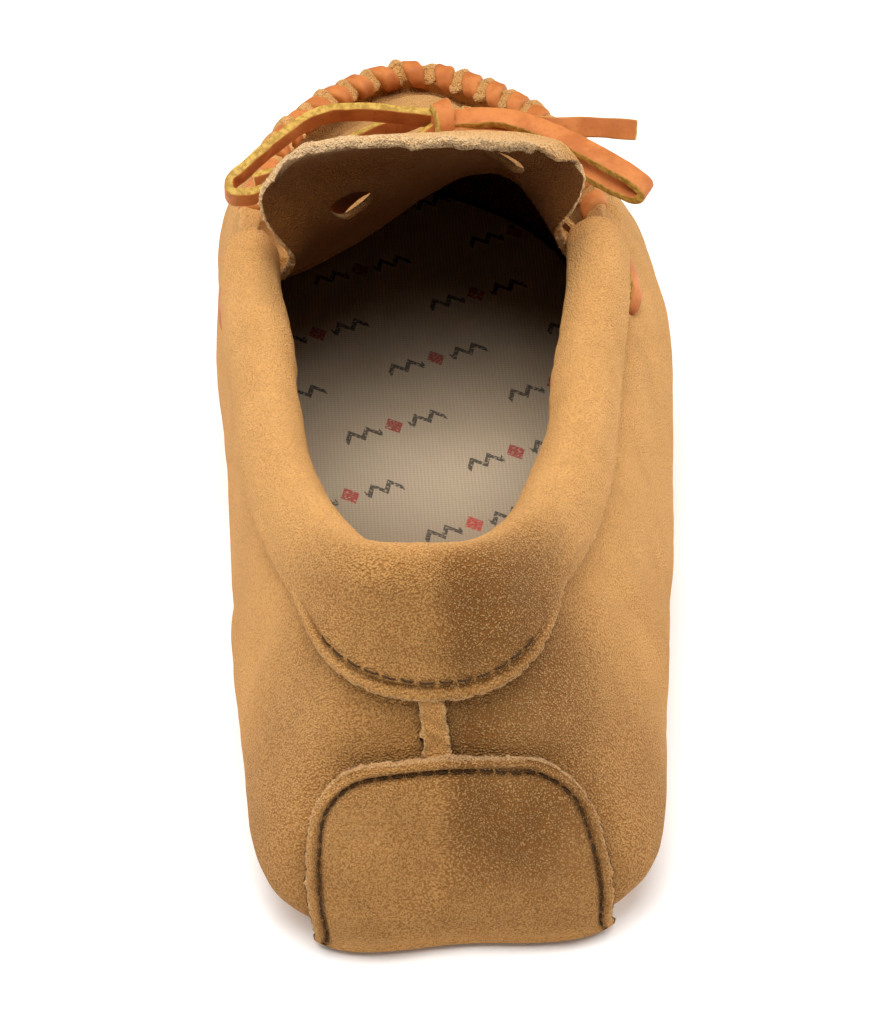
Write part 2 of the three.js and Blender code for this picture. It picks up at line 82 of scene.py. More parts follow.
# Once round the shoe from the back of the heel is AROUND turns. The seam runs from FRONT to its mirror.
AROUND, FRONT, TOE, WHIPS = 60, 20, 30, 21
BODY_FLOOR = SOLE_THICK + GAP + SUEDE
SOLE_RING = [[0, 5], [27, 8.5], [33, 42], [39.5, 98], [46, 164], [35, 222],
             [0, 248], [-29, 225], [-37.5, 171], [-34, 102], [-32, 42], [-26.5, 7]]
RINGS = np.array([
    [[x, y, SOLE_THICK + GAP] for x, y in SOLE_RING],
    [[0, 5.5, 15], [33, 9, 14], [42.5, 50, 18], [48.5, 104, 20], [52.5, 166, 24], [43, 222, 22],
     [1, 255, 19], [-36, 227, 20], [-42.5, 170, 22], [-40.5, 106, 20], [-40, 52, 18],
     [-34.5, 8, 13.5]],
    [[-3, 12, 42], [20, 16, 43], [36, 52, 42], [42.5, 103, 41], [47.5, 158, 44], [39, 209, 39],
     [1, 248, 35], [-34, 212, 39], [-41.5, 158, 44], [-40, 104, 41], [-37.5, 52, 42], [-27, 15, 43]],
    [[-6, 20.5, 69], [10.5, 25.5, 69], [24.5, 56, 65], [33, 104, 60], [38, 152, 60], [29, 205, 54],
     [1, 239, 46], [-26, 205, 54], [-38, 152, 60], [-37, 104, 60], [-33, 56, 65],
     [-22.5, 25.5, 69]],
], float)
RING_UP = np.array([0, 0.3, 0.68, 1])


# ---- curves and surfaces ----
def through(points, t, closed=False, centripetal=True):
    """Points at t, from 0 to 1, of the smooth curve through the given points."""
    p = np.asarray(points, float)
    t = np.asarray(t, float)
    if closed:
        s = (t % 1.0) * len(p)
        i = np.floor(s).astype(int)
        a, b, c, d = (p[(i + k) % len(p)] for k in (-1, 0, 1, 2))
    else:
        s = np.clip(t, 0, 1) * (len(p) - 1)
        i = np.minimum(np.floor(s).astype(int), len(p) - 2)
        q = np.concatenate([2 * p[:1] - p[1:2], p, 2 * p[-1:] - p[-2:-1]])
        a, b, c, d = (q[i + k] for k in range(4))
    w = (s - i).reshape(s.shape + (1,) * (p.ndim - 1))
    if centripetal:
        e, f, g = (np.linalg.norm(v - u, axis=-1, keepdims=True) ** 0.5 + 1e-9
                   for u, v in ((a, b), (b, c), (c, d)))
        m = ((b - a) / e - (c - a) / (e + f) + (c - b) / f) * f
        n = ((c - b) / f - (d - b) / (f + g) + (d - c) / g) * f
    else:
        m, n = (c - a) / 2, (d - b) / 2
    return b + m * w + (3 * (c - b) - 2 * m - n) * w ** 2 + (2 * (b - c) + m + n) * w ** 3


def smooth(x):
    x = np.clip(x, 0, 1)
    return x * x * (3 - 2 * x)


def lerp(a, b, t):
    return a + (b - a) * t


def unit(v):
    return v / (np.linalg.norm(v, axis=-1, keepdims=True) + 1e-12)


def bell(x, width):
    return np.exp(-(x / width) ** 2)


def wall(turn, up):
    """The leather body's outer face: turn is the place round the shoe, up runs sole to rim."""
    turn, up = np.broadcast_arrays(np.asarray(turn, float), np.asarray(up, float))
    rings = np.stack([through(r, turn / AROUND, True, False) for r in RINGS])
    k = np.clip(np.searchsorted(RING_UP, up, side="right") - 1, 0, 2)
    slopes = np.stack([
        (rings[min(j + 1, 3)] - rings[max(j - 1, 0)]) / (RING_UP[min(j + 1, 3)] - RING_UP[max(j - 1, 0)])
        for j in range(4)])

    def pick(values, index):
        return np.take_along_axis(values, index[None, ..., None], 0)[0]

    h = (RING_UP[k + 1] - RING_UP[k])[..., None]
    f = (up - RING_UP[k])[..., None] / h
    return (pick(rings, k) * (2 * f ** 3 - 3 * f ** 2 + 1)
            + pick(slopes, k) * h * (f ** 3 - 2 * f ** 2 + f)
            + pick(rings, k + 1) * (3 * f ** 2 - 2 * f ** 3)
            + pick(slopes, k + 1) * h * (f ** 3 - f ** 2))


def wall_normal(turn, up):
    turn, up = np.broadcast_arrays(np.asarray(turn, float), np.asarray(up, float))
    along = wall(turn + 0.5, up) - wall(turn - 0.5, up)
    rise = wall(turn, np.minimum(up + 0.02, 1)) - wall(turn, np.maximum(up - 0.02, 0))
    return unit(np.cross(along, rise))


def skin(turn, up, out):
    out = np.asarray(out, float)[..., None]
    return wall(turn, up) + wall_normal(turn, up) * out


def flat(v):
    return unit(v * np.array([1, 1, 0]))


def ripple(points, size, seed, count=16):
    """A smooth random field over space with features of about the given size, mostly -1 to 1."""
    rng = np.random.default_rng(seed)
    ways = unit(rng.normal(size=(count, 3))) * (2 * math.pi / size) * rng.uniform(0.6, 1.5, (count, 1))
    phase = rng.uniform(0, 2 * math.pi, count)
    return np.sin(points @ ways.T + phase).sum(-1) / math.sqrt(count * 1.5)


def grid_normals(grid):
    return unit(np.cross(np.gradient(grid, axis=0), np.gradient(grid, axis=1)))


def widened(grid, cols):
    """The grid with this many columns, its rows smooth curves through the given ones."""
    return through(grid.transpose(1, 0, 2), np.linspace(0, 1, cols)).transpose(1, 0, 2)


def run_along(line):
    """How far along a line each of its points is."""
    return np.concatenate([[0], np.cumsum(np.linalg.norm(np.diff(line, axis=0), axis=-1))])


def at_run(wanted, run, values):
    """The values at the wanted distances along a line."""
    return np.stack([np.interp(wanted, run, values[:, k]) for k in range(3)], -1)


# ---- meshes ----
# Rows and columns of each fine grid.
BODY_GRID, COLLAR_GRID, TAB_GRID = (840, 90), (620, 90), (190, 150)
PLUG_GRID, PLATE_TURNS = (460, 300), np.linspace(0, AROUND, 420, endpoint=False)
EDGE_STEPS, END_STEPS, EDGE_BULGE = 5, 3, 0.9  # points round a sheet's cut edges, and how full they are
WELD = 1e-6


def grid_faces(rows, cols, ring_rows=False, ring_cols=False):
    i = np.arange(rows if ring_rows else rows - 1)[:, None]
    j = np.arange(cols if ring_cols else cols - 1)[None]
    a, b = (i % rows) * cols, ((i + 1) % rows) * cols
    c, d = j % cols, (j + 1) % cols
    return np.stack([a + c, a + d, b + d, b + c], -1).reshape(-1, 4)


def make_mesh(name, points, faces, marks=None):
    points, faces = np.asarray(points, float).reshape(-1, 3), np.asarray(faces, int)
    mesh = bpy.data.meshes.new(name)
    mesh.vertices.add(len(points))
    mesh.vertices.foreach_set("co", metres(points).astype(np.float32).ravel())
    mesh.loops.add(faces.size)
    mesh.loops.foreach_set("vertex_index", faces.astype(np.int32).ravel())
    mesh.polygons.add(len(faces))
    mesh.polygons.foreach_set("loop_start", np.arange(0, faces.size, faces.shape[1], dtype=np.int32))
    mesh.polygons.foreach_set("use_smooth", np.ones(len(faces), bool))
    mesh.update(calc_edges=True)
    for key, values in (marks or {}).items():
        attribute = mesh.attributes.new(key, "FLOAT", "POINT")
        attribute.data.foreach_set("value", np.ravel(values).astype(np.float32))
    obj = bpy.data.objects.new(name, mesh)
    scene.collection.objects.link(obj)
    return obj


def weld(obj):
    """The object with points in the same place made one, which closes a plate along its spine."""
    shell = bmesh.new()
    shell.from_mesh(obj.data)
    bmesh.ops.remove_doubles(shell, verts=shell.verts, dist=WELD)
    shell.to_mesh(obj.data)
    shell.free()
    return obj


def round_shell(name, grid, marks=None):
    """A closed mesh from a grid whose rows go round the shoe and whose end columns lie on a spine."""
    return weld(make_mesh(name, grid, grid_faces(*grid.shape[:2], True), marks))


def join(name, objects):
    bpy.ops.object.select_all(action="DESELECT")
    for o in objects:
        o.select_set(True)
    bpy.context.view_layer.objects.active = objects[0]
    bpy.ops.object.join()
    objects[0].name = objects[0].data.name = name
    return objects[0]


def dress(obj, slot_name, nodes, body="shoe"):
    """The object given its slot's material, the CAD parts that it replaces and the body it rides on."""
    obj.data.materials.append(MATERIALS[slot_name])
    if body:
        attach(obj, body)
    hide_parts(*nodes)
    return obj


def leather_sheet(upper, lower):
    """A closed sheet between two grids, its edges rounded. Returns the points as a grid whose
    columns run round the section, and each point's share of raw cut edge."""
    def half_round(a, b, inward):
        turns = np.linspace(0, math.pi, EDGE_STEPS + 2)[1:-1]
        middle, radius = (a + b) / 2, np.linalg.norm(a - b, axis=-1)[:, None] / 2
        across, out = unit(a - b), unit(-inward)
        return np.stack([middle + radius * (across * math.cos(t) + out * math.sin(t) * EDGE_BULGE)
                         for t in turns], 1)

    high = half_round(upper[:, -1], lower[:, -1], upper[:, -2] - upper[:, -1])
    low = half_round(lower[:, 0], upper[:, 0], upper[:, 1] - upper[:, 0])
    section = np.concatenate([upper, high, lower[:, ::-1], low], 1)
    cols = upper.shape[1]
    raw = np.zeros(section.shape[:2])
    raw[:, cols:cols + EDGE_STEPS] = 1
    raw[:, -EDGE_STEPS:] = 1
    ends = []
    for row, inner in ((0, 1), (-1, -2)):
        centre = (upper[row] + lower[row]) / 2
        centre = np.concatenate([centre, np.repeat(centre[-1:], EDGE_STEPS, 0),
                                 centre[::-1], np.repeat(centre[:1], EDGE_STEPS, 0)])
        push = unit(section[row] - section[inner])
        ends.append([section[row] + (centre - section[row]) * (1 - math.cos(t))
                     + push * SUEDE / 2 * math.sin(t) * EDGE_BULGE
                     for t in np.linspace(0, math.pi / 2, END_STEPS + 1)[1:]])
    section = np.concatenate([np.stack(ends[0][::-1]), section, np.stack(ends[1])])
    return section, np.pad(raw, ((END_STEPS, END_STEPS), (0, 0)), constant_values=1)


def frayed(grid, raw):
    """The grid with its cut edges roughened, as loose suede fibres leave them."""
    push = np.stack([0.2 * ripple(grid, 1.9, 90 + k) + 0.13 * ripple(grid, 0.9, 93 + k)
                     for k in range(3)], -1)
    return grid + push * raw[..., None]


def section_mesh(name, upper, lower, marks, slits=(), bare=0.35):
    """A leather sheet as a mesh. marks are extra values for each point of the upper grid, and slits
    are runs of cells, each (row, first column, last column), cut through the sheet. bare is how pale
    the cut edges are, for the whole piece or for each row."""
    grid, raw = leather_sheet(upper, lower)
    grid = frayed(grid, raw)
    rows, cols = raw.shape
    inner = upper.shape[1]
    flesh_and_shade = np.zeros((rows, cols))
    flesh_and_shade[:, inner + EDGE_STEPS:cols - EDGE_STEPS] = 1
    if np.ndim(bare):
        bare = np.pad(bare, END_STEPS, "edge")[:, None]
    values = {"raw": raw * bare, "flesh_and_shade": flesh_and_shade}
    for key, field in marks.items():
        field = np.broadcast_to(field, upper.shape[:2])
        both = np.concatenate([field, np.repeat(field[:, -1:], EDGE_STEPS, 1), field[:, ::-1],
                               np.repeat(field[:, :1], EDGE_STEPS, 1)], 1)
        both = np.pad(both, ((END_STEPS, END_STEPS), (0, 0)), "edge")
        values[key] = np.maximum(both, values.get(key, 0))
    faces = grid_faces(rows, cols, False, True)
    flip = volume_of(grid.reshape(-1, 3), faces) < 0
    if slits:
        faces = cut_slits(faces, slits, cols, inner)
    return make_mesh(name, grid, faces[:, ::-1] if flip else faces, values)


def cut_slits(faces, slits, cols, inner):
    """The faces less the slits' cells on both sides of the sheet, with walls between the two."""
    keep, walls = np.ones(len(faces), bool), []
    for row, first, last in slits:
        line = (row + END_STEPS) * cols
        span = np.arange(first, last)
        keep[line + span] = keep[line + 2 * inner + EDGE_STEPS - 2 - span] = False
        run = np.arange(first, last + 1)
        loop = np.concatenate([line + run, line + cols + run[::-1]])
        below = loop + 2 * inner + EDGE_STEPS - 1 - 2 * (loop % cols)
        walls.append(np.stack([loop, np.roll(loop, -1), np.roll(below, -1), below], 1))
    return np.concatenate([faces[keep], *walls])


def volume_of(points, faces):
    a, b, c, d = (points[faces[:, k]] for k in range(4))
    return (np.einsum("ij,ij->i", a, np.cross(b, c)) + np.einsum("ij,ij->i", a, np.cross(c, d))).sum()


# ---- the laced seam's rhythm ----
# One turn of the lace: across the seam, height, share of the pitch.
WHIP_TURN = [(-1.0, -2.6, 0), (-1.7, -1.3, 0.08), (-1.4, 0.2, 0.18), (0, 0.95, 0.3),
             (1.4, 0.2, 0.42), (1.7, -1.3, 0.52), (1.0, -2.6, 0.6)]
WHIP_CROWN = WHIP_TURN[3][2]
RIM_LIFT, SEAM_MARGIN, SEAM_MIDDLE = 1.2, 0.7, SUEDE + GAP / 2


def to_side(turn):
    """The turn counted from the back of the heel, negative on the inner side of the foot."""
    return (turn + TOE) % AROUND - TOE


def from_heel(turn):
    return np.abs(to_side(turn))


def on_seam(turn):
    """1 along the laced seam, 0 along the collar."""
    return smooth((from_heel(turn) - FRONT + 0.6) / 1.4)


SEAM_TURNS = np.linspace(FRONT + SEAM_MARGIN, AROUND - FRONT - SEAM_MARGIN, 800)
SEAM_RUN = run_along(wall(SEAM_TURNS, 1))
SEAM_RUN = SEAM_RUN / SEAM_RUN[-1]  # share of the seam's length


def pucker(turn):
    """1 between two turns of the toe lace and -1 at its holes, 0 away from the seam."""
    phase = np.interp(turn % AROUND, SEAM_TURNS, SEAM_RUN) * WHIPS - WHIP_CROWN
    return -np.cos(2 * math.pi * phase) * on_seam(turn) * (1 + 0.3 * np.sin(phase * 2.4 + 1))


# ---- leather body ----
def sole_point(turn, inset, height):
    """A point on the sole's outline, moved in by the inset and set at the height."""
    p = wall(turn, 0) - flat(wall_normal(turn, 0)) * inset
    p[..., 2] = height
    return p


SPINE_HEEL, SPINE_TOE = 26, 226


def spine(outline):
    """Points down the middle of an outline, one for each of its points."""
    half = len(outline) // 2
    y = np.clip(outline[:, 1], SPINE_HEEL, SPINE_TOE)
    y = (y + np.roll(y[::-1], 1)) / 2
    right, left = outline[:half], outline[half:][::-1]
    x = (np.interp(y, right[:, 1], right[:, 0]) + np.interp(y, left[:, 1], left[:, 0])) / 2
    return np.stack([x, y, outline[:, 2]], -1)


def floor_rows(outline, count):
    """Rows from an outline in to its spine."""
    middle = spine(outline)
    return [lerp(outline, middle, share) for share in np.linspace(0, 1, count + 1)[1:]]


def rim_rows(turn, inset, bottom, thick, edge, count):
    """The rows over a plate's rounded rim, from its under side to its upper side."""
    return [sole_point(turn, inset + (1 - math.cos(angle)) * edge,
                       bottom + thick / 2 * (1 + math.sin(angle)))
            for angle in np.linspace(-math.pi / 2, math.pi / 2, count)]


# Creases by the front of the collar: place in turns, height, lean, depth.
CREASES = ((9.3, 0.78, 2.2, 0.55), (-8.6, 0.77, -2.6, 0.6), (-11.5, 0.62, -3.5, 0.5), (11.8, 0.6, 3.0, 0.4))


def body_relief(turn, up, points):
    """How far the suede stands out: puckers at the seam, a dip under the collar, ripples and creases."""
    near = 1 - up
    lift = pucker(turn) * (0.7 * bell(near - 0.05, 0.07) + 0.5 * bell(near, 0.24))
    calm = 1 - 0.6 * bell(near, 0.1)
    under_hem = up - (collar_low(to_side(turn)) - 0.035)
    lift -= (1 - on_seam(turn)) * 0.9 * bell(under_hem, 0.045) * smooth((from_heel(turn) - 4) / 3)
    lift += calm * smooth(up / 0.12) * (0.55 * ripple(points, 70, 3) + 0.16 * ripple(points, 20, 4)
                                        + 0.05 * ripple(points, 7, 5))
    for place, height, lean, size in CREASES:
        offset = to_side(turn) - place - lean * (height - up)
        lift += -size * bell(offset, 0.35) * bell(up - height + 0.12, 0.16)
        lift += 0.7 * size * bell(offset - 0.75, 0.5) * bell(up - height + 0.12, 0.16)
    return lift


SIDE_HOLES = {-1: 17.6, 1: 18.05}  # where the lace dives into the wall on each side, in turns
HOLE_UP = 0.845


def side_holes(turn, up):
    """1 in the holes that the lace dives into on the two sides, 0 elsewhere."""
    near = sum(bell(to_side(turn) - sign * at, 0.17) for sign, at in SIDE_HOLES.items())
    return near * bell(up - HOLE_UP, 0.028)


def make_body():
    """The wrapped leather body: its outer face, the edge at the rim, its inner face and its floor."""
    turn = np.linspace(0, AROUND, BODY_GRID[0], endpoint=False)[:, None]
    up = 1 - np.linspace(1, 0, BODY_GRID[1]) ** 1.35  # closer together near the rim
    plain = wall(turn, up)
    normal = wall_normal(turn, up)
    relief = body_relief(turn, np.broadcast_to(up, plain.shape[:2]), plain) - 1.6 * side_holes(turn, up)
    outer = plain + normal * relief[..., None]
    outer[..., 2] += (RIM_LIFT * on_seam(turn) + 0.35 * pucker(turn)) * bell(1 - up, 0.12)
    inner = outer - normal * SUEDE
    middle, across = (outer[:, -1] + inner[:, -1]) / 2, (outer[:, -1] - inner[:, -1]) / 2
    rise = unit(outer[:, -1] - outer[:, -2]) * (SUEDE / 2)
    edge = [middle + across * math.cos(t) + rise * math.sin(t) for t in np.linspace(0, math.pi, 8)[1:-1]]
    below = floor_rows(sole_point(turn[:, 0], 0.4, SOLE_THICK + GAP), 4)
    inner[:, 0] = sole_point(turn[:, 0], SUEDE, BODY_FLOOR)
    above = floor_rows(inner[:, 0], 4)
    grid = np.stack([*below[::-1], *outer.transpose(1, 0, 2), *edge,
                     *inner.transpose(1, 0, 2)[::-1], *above], 1)
    raw = np.zeros(grid.shape[:2])
    first = len(below) + outer.shape[1]
    raw[:, first - 1:first + len(edge) + 1] = 0.4 - 0.3 * on_seam(turn)
    # The dark mark is painted shade: at the lace's holes along the seam, over the back of the heel, in the
    # side holes and in the gap next to the back seam strip.
    dark = np.zeros(grid.shape[:2])
    seam = on_seam(turn) * bell(1 - up, 0.06) * (0.5 - 0.5 * pucker(turn))
    tape_gap_shade = bell(turn - 0.12, 0.09) * smooth((up - 0.58) / 0.03) * smooth((0.84 - up) / 0.03)
    dark[:, len(below):first] = (0.6 * seam + heel_shade(plain) + 0.9 * side_holes(turn, up)
                                 + 1.2 * tape_gap_shade)
    inside = np.zeros(grid.shape[:2])
    inside[:, first + len(edge):] = 1
    return round_shell("leather_body_suede", frayed(grid, raw), {"raw": raw, "dark": dark, "flesh_and_shade": inside})


def heel_shade(points):
    """How much painted shade darkens and browns the suede round the back of the heel."""
    x, y, z = points[..., 0], points[..., 1], points[..., 2]
    back = smooth((44 - y) / 24)
    # The band where the painted shade is deepest.
    wear_and_shade = smooth((x + 7) / 8) * smooth((31 - x) / 17) * smooth((z - 6) / 22)
    return back * (0.46 + 0.54 * wear_and_shade) * smooth(z / 8)


# ---- collar ----
COLLAR_END = FRONT - 0.9
ROLL_OUT, ROLL_IN, ROLL_RISE = 3.2, 9.5, 8.5


def collar_low(turn):
    """How far up the wall the collar's hem runs, lowest at the back."""
    return np.minimum(0.93, 0.795 + 0.0029 * turn ** 2)


def collar_profile(turn, inside):
    """The points up the collar's outer side, over its roll and down inside the shoe."""
    t = SUEDE if inside else 0
    low = collar_low(turn)
    edge, out = wall(turn, 1), flat(wall_normal(turn, 1))
    points = []
    for share in (0, 1 / 3, 2 / 3, 1):
        swell = (ROLL_OUT - SUEDE - GAP) * float(smooth(share))
        points.append(skin(turn, lerp(low, 0.97, share), GAP + SUEDE - t + swell))
    middle, wide = (ROLL_OUT - ROLL_IN) / 2, (ROLL_OUT + ROLL_IN) / 2 - t
    for degrees in np.linspace(20, 160, 7):
        a = math.radians(degrees)
        rise = np.array([0, 0, (ROLL_RISE - t) * math.sin(a)])
        points.append(edge + out * (middle + wide * math.cos(a)) + rise)
    for share in (0, 0.5, 1):
        swell = (ROLL_IN - 2 * SUEDE - GAP) * (1 - float(smooth(share)))
        points.append(skin(turn, lerp(0.97, 0.84, share), -(2 * SUEDE + GAP - t) - swell))
    return np.stack(points, 1)


def make_collar():
    """The band folded over the top edge, from one front end round the heel to the other."""
    rows, cols = COLLAR_GRID
    turn = np.linspace(-COLLAR_END, COLLAR_END, rows)
    outer, inner = (widened(collar_profile(turn, inside), cols) for inside in (False, True))
    normal = unit(outer - inner)
    place = np.linspace(0, 1, cols)[None]
    side = turn[:, None]
    heel = smooth((6.3 - np.abs(side + 0.3)) / 1.6)
    relief = 0.35 * ripple(outer, 34, 8) + 0.13 * ripple(outer, 11, 9) + 0.05 * ripple(outer, 4.5, 10)
    relief = relief * smooth(place / 0.12)
    hem = np.linalg.norm(outer - outer[:, :1], axis=-1)
    relief += heel * (-0.55 * bell(hem - 2.2, 0.75) + 0.25 * bell(hem - 0.9, 0.7))
    relief += -0.9 * bell(side - 5.2, 1.0) * bell(place - 0.32, 0.2)
    # Painted shade over the back of the heel and in the groove just above the hem.
    shade = heel_shade(outer) * smooth((place + 0.15) / 0.3) * smooth((0.66 - place) / 0.2)
    shade = shade + 0.9 * heel * bell(hem - 2.2, 0.45)
    outer, inner = outer + normal * relief[..., None], inner + normal * relief[..., None]
    return section_mesh("rolled_collar", outer, inner, {"dark": shade})


# ---- second sole with its heel tab ----
TAB_TOP = 0.65  # how far up the wall
TAB_SPAN, TAB_RISE, STITCH_IN = 25.0, 42.0, 1.75  # half width, height and the stitches' inset
TAB_CORNER = 2.2


def tab_point(s, rise, out):
    """s runs across the tab, -1 to 1, and rise up it. The top corners are rounded."""
    corner = np.clip((rise - 0.78) / 0.22, 0, 1)
    s = s * (1 - 0.3 * (1 - np.sqrt(1 - corner ** 2)))
    top = TAB_TOP * (1 - 0.05 * np.abs(s) ** 4)
    return skin(tab_half(rise) * s, rise * top, out)


def tab_half(rise):
    """Half the tab's width in turns: wide at the foot, narrowest low on the heel's curve."""
    return 3.75 + 1.1 * np.maximum(0, 1 - rise / 0.45) ** 2 + 0.45 * smooth((rise - 0.45) / 0.55)


def tab_inset(s, rise):
    """How far a point of the tab is from its edge."""
    a, b = (1 - np.abs(s)) * TAB_SPAN, (1 - rise) * TAB_RISE
    return -np.log(np.exp(-a / TAB_CORNER) + np.exp(-b / TAB_CORNER)) * TAB_CORNER


def make_second_sole():
    """The plate under the shoe and the tab that bends up from it over the heel."""
    cols, rows = TAB_GRID
    s, rise = np.meshgrid(np.linspace(-1, 1, cols), np.linspace(0, 1, rows), indexing="ij")
    inset = tab_inset(s, rise)
    puff = 0.1 + 0.7 * smooth((inset - STITCH_IN) / 8) - 0.85 * bell(inset - STITCH_IN, 0.6)
    puff = (puff + 0.5 * bell(inset - 0.7, 0.55)) * smooth(rise / 0.1)
    base = tab_point(s, rise, 0)
    puff += (0.3 * ripple(base, 16, 12) + 0.07 * ripple(base, 5, 13)) * smooth(rise / 0.15)
    outer = tab_point(s, rise, 2 * GAP + SOLE_THICK + puff)
    inner = tab_point(s, rise, 2 * GAP)
    foot_turn = tab_half(0) * s[:, 0]
    foot, out = wall(foot_turn, 0), flat(wall_normal(foot_turn, 0))
    centre, faces = foot + out * GAP, []
    for radius, face in ((SOLE_THICK + GAP, outer), (GAP, inner)):
        bend = [centre + out * (radius * math.cos(angle)) - np.array([0, 0, radius * math.sin(angle)])
                for angle in np.linspace(math.pi / 2, 0, 10)[:-1]]
        under = [bend[0] - out * reach for reach in (9, 6, 3)]  # the stretch below the shoe
        faces.append(np.concatenate([np.stack(under + bend, 1), face], 1))
    outer, inner = faces
    pad = outer.shape[1] - rows
    # Painted shade over the back of the heel and in the stitches' groove, and a painted shadow low along
    # the stitches on the inner side.
    shade = heel_shade(base) + 0.75 * bell(inset - STITCH_IN, 0.5)
    shade += bell(inset - STITCH_IN, 0.9) * smooth((0.22 - rise) / 0.15) * (s < 0)
    shade = np.pad(shade, ((0, 0), (pad, 0)), "edge")
    tab = section_mesh("heel_tab", outer, inner, {"dark": shade})
    rim = rim_rows(PLATE_TURNS, 0.5, 0, SOLE_THICK, 0.9, 9)
    below, above = floor_rows(rim[0], 4)[::-1], floor_rows(rim[-1], 4)
    grid = np.stack(below + rim + above, 1)
    raw = np.zeros(grid.shape[:2])
    raw[:, len(below) + 1:len(below) + len(rim) - 1] = 1
    return join("second_sole_and_heel_tab", [tab, round_shell("sole_plate", grid, {"raw": raw})])


# ---- plug and tongue, one piece of leather ----
VALLEY, SKEW, FLANGE = 7, 1, GAP + 2 * SUEDE  # the dip inside the seam, the instep's lean, the edge's inset
ACROSS = np.array([-1, -0.8, -0.62, -0.4, -0.2, 0, 0.2, 0.4, 0.62, 0.8, 1])
# The tongue from its root to its free edge: along its inner side, its middle and its outer side.
TONGUE = np.array([
    [[-28, 147, 58], [-26, 139, 61], [-27.5, 138, 67], [-32, 139, 74], [-33, 137.5, 82],
     [-28, 134.5, 91]],
    [[2, 146, 79], [1, 144, 82.7], [0.5, 142.2, 87.2], [0, 139.4, 92], [0, 135.8, 95.4], [0, 131.2, 97.4]],
    [[27, 147.5, 61], [25.2, 141, 65], [27.2, 140, 70.5], [31, 140, 77], [31, 139.2, 84.5],
     [26, 135, 88.3]],
], float)


def plug_point(turn, side):
    """The panel over the toes: side runs across it, -1 to 1, at each place along the seam."""
    turn, side = np.broadcast_arrays(np.asarray(turn, float), np.asarray(side, float))
    up = lerp(0.95, 0.81, smooth((TOE - turn) / 5))
    outer, inner = skin(turn, up, -FLANGE), skin(-turn, up, -FLANGE)
    width = np.linalg.norm(outer - inner, axis=-1)
    reach = np.maximum(1 - 2 * VALLEY / width, 0.3)
    within = np.clip(side / reach, -1, 1)
    instep = np.clip((TOE - turn) / (TOE - FRONT), 0, 2) ** 1.1
    height = lerp(2, 21, instep) * smooth((width - 3.4 * VALLEY) / (2.2 * VALLEY))
    p = inner + (outer - inner) * ((side + 1) / 2)[..., None]
    p[..., 2] += height * ((1 - within ** 2) ** 0.75 + SKEW * instep * within * (1 - within ** 2))
    return p


def plug_row(turn):
    """The points across the plug from one turned-up edge to the other."""
    def edge(t, up):
        lift = RIM_LIFT * on_seam(t) * (up - 0.9) / 0.1
        return skin([t], up, -FLANGE) + [[0, 0, lift]]

    return np.concatenate([edge(-turn, 1), edge(-turn, 0.98), plug_point(turn, ACROSS),
                           edge(turn, 0.98), edge(turn, 1)])


def fold_up(side):
    """How far up the tongue its fold line runs."""
    return 0.22 + 0.3 * np.abs(side) ** 1.5


def tongue_point(side, up):
    """The standing tongue: side runs across it, -1 to 1, and up from its root at 0 to its edge at 1."""
    side, up = np.broadcast_arrays(np.asarray(side, float), np.asarray(up, float))
    left, middle, right = (through(line, up) for line in TONGUE)
    chord = left + (right - left) * ((side + 1) / 2)[..., None]
    rise = middle - (left + right) / 2
    lean = SKEW * (1 - np.minimum(up, 1)) ** 2 * side * (1 - side ** 2)
    arch = (1 - np.minimum(side ** 2, 1)) ** lerp(0.75, 0.45, up)
    chord = chord + rise * (arch + lean)[..., None]
    root = plug_point(np.full_like(side, FRONT), side * 0.94)
    return lerp(root, chord, smooth(0.25 + up * 1.6)[..., None])


def tongue_frame(side, up):
    """The tongue's face towards the toe: its point, the way up it and the way out of it."""
    point = tongue_point(side, up)
    rise = unit(tongue_point(side, up + 0.05) - point)
    near = unit(tongue_point(side + 0.05, up) - point)
    return point, rise, unit(np.cross(rise, near))


# The tongue's two lace slots: their place across and up it, their size and their slant.
SLOT_SIDE, SLOT_UP, SLOT_LONG, SLOT_WIDE, SLOT_TILT = 0.57, 0.355, 10.0, 7.6, 2.6


def open_slots(grid, root_row, rows_each):
    """The grid opened round its two slots, the slots' runs of cells, and how near them each point is, used
    as painted shade round the slots.
    """
    grid, slits, slot_shade = grid.copy(), [], np.zeros(grid.shape[:2])
    cols = grid.shape[1]
    row = int(round((root_row + (1 - SLOT_UP / fold_up(SLOT_SIDE)) * 4) * rows_each))
    for sign in (-1, 1):
        middle = int(round((1 + sign * SLOT_SIDE) / 2 * (cols - 1)))
        step = np.linalg.norm(grid[row, middle + 1] - grid[row, middle])
        reach = int(SLOT_LONG / 2 / step)
        along = (np.arange(cols) - middle) / reach
        opening = SLOT_WIDE / 2 * np.clip(1 - along ** 2, 0, 1) ** 0.6
        near = np.arange(-60, 62)  # the rows that give way
        rise = grid[row + 3] - grid[row - 2]
        rise_step = np.linalg.norm(rise, axis=-1, keepdims=True) / 5
        rise = rise / (5 * rise_step)
        gap = (near - 0.5)[:, None] * rise_step[None, :, 0]
        push = np.sign(gap) * opening * np.exp(-np.abs(gap) / 4)
        push += SLOT_TILT * sign * along * np.exp(-(gap / 7) ** 2 - along ** 2 / 2.5)
        grid[row + near] += rise[None] * push[..., None]
        slot_shade[row + near] += bell(gap, 0.8) * (np.abs(along) < 1.04)
        slits.append((row, middle - reach, middle + reach))
    return grid, slits, slot_shade


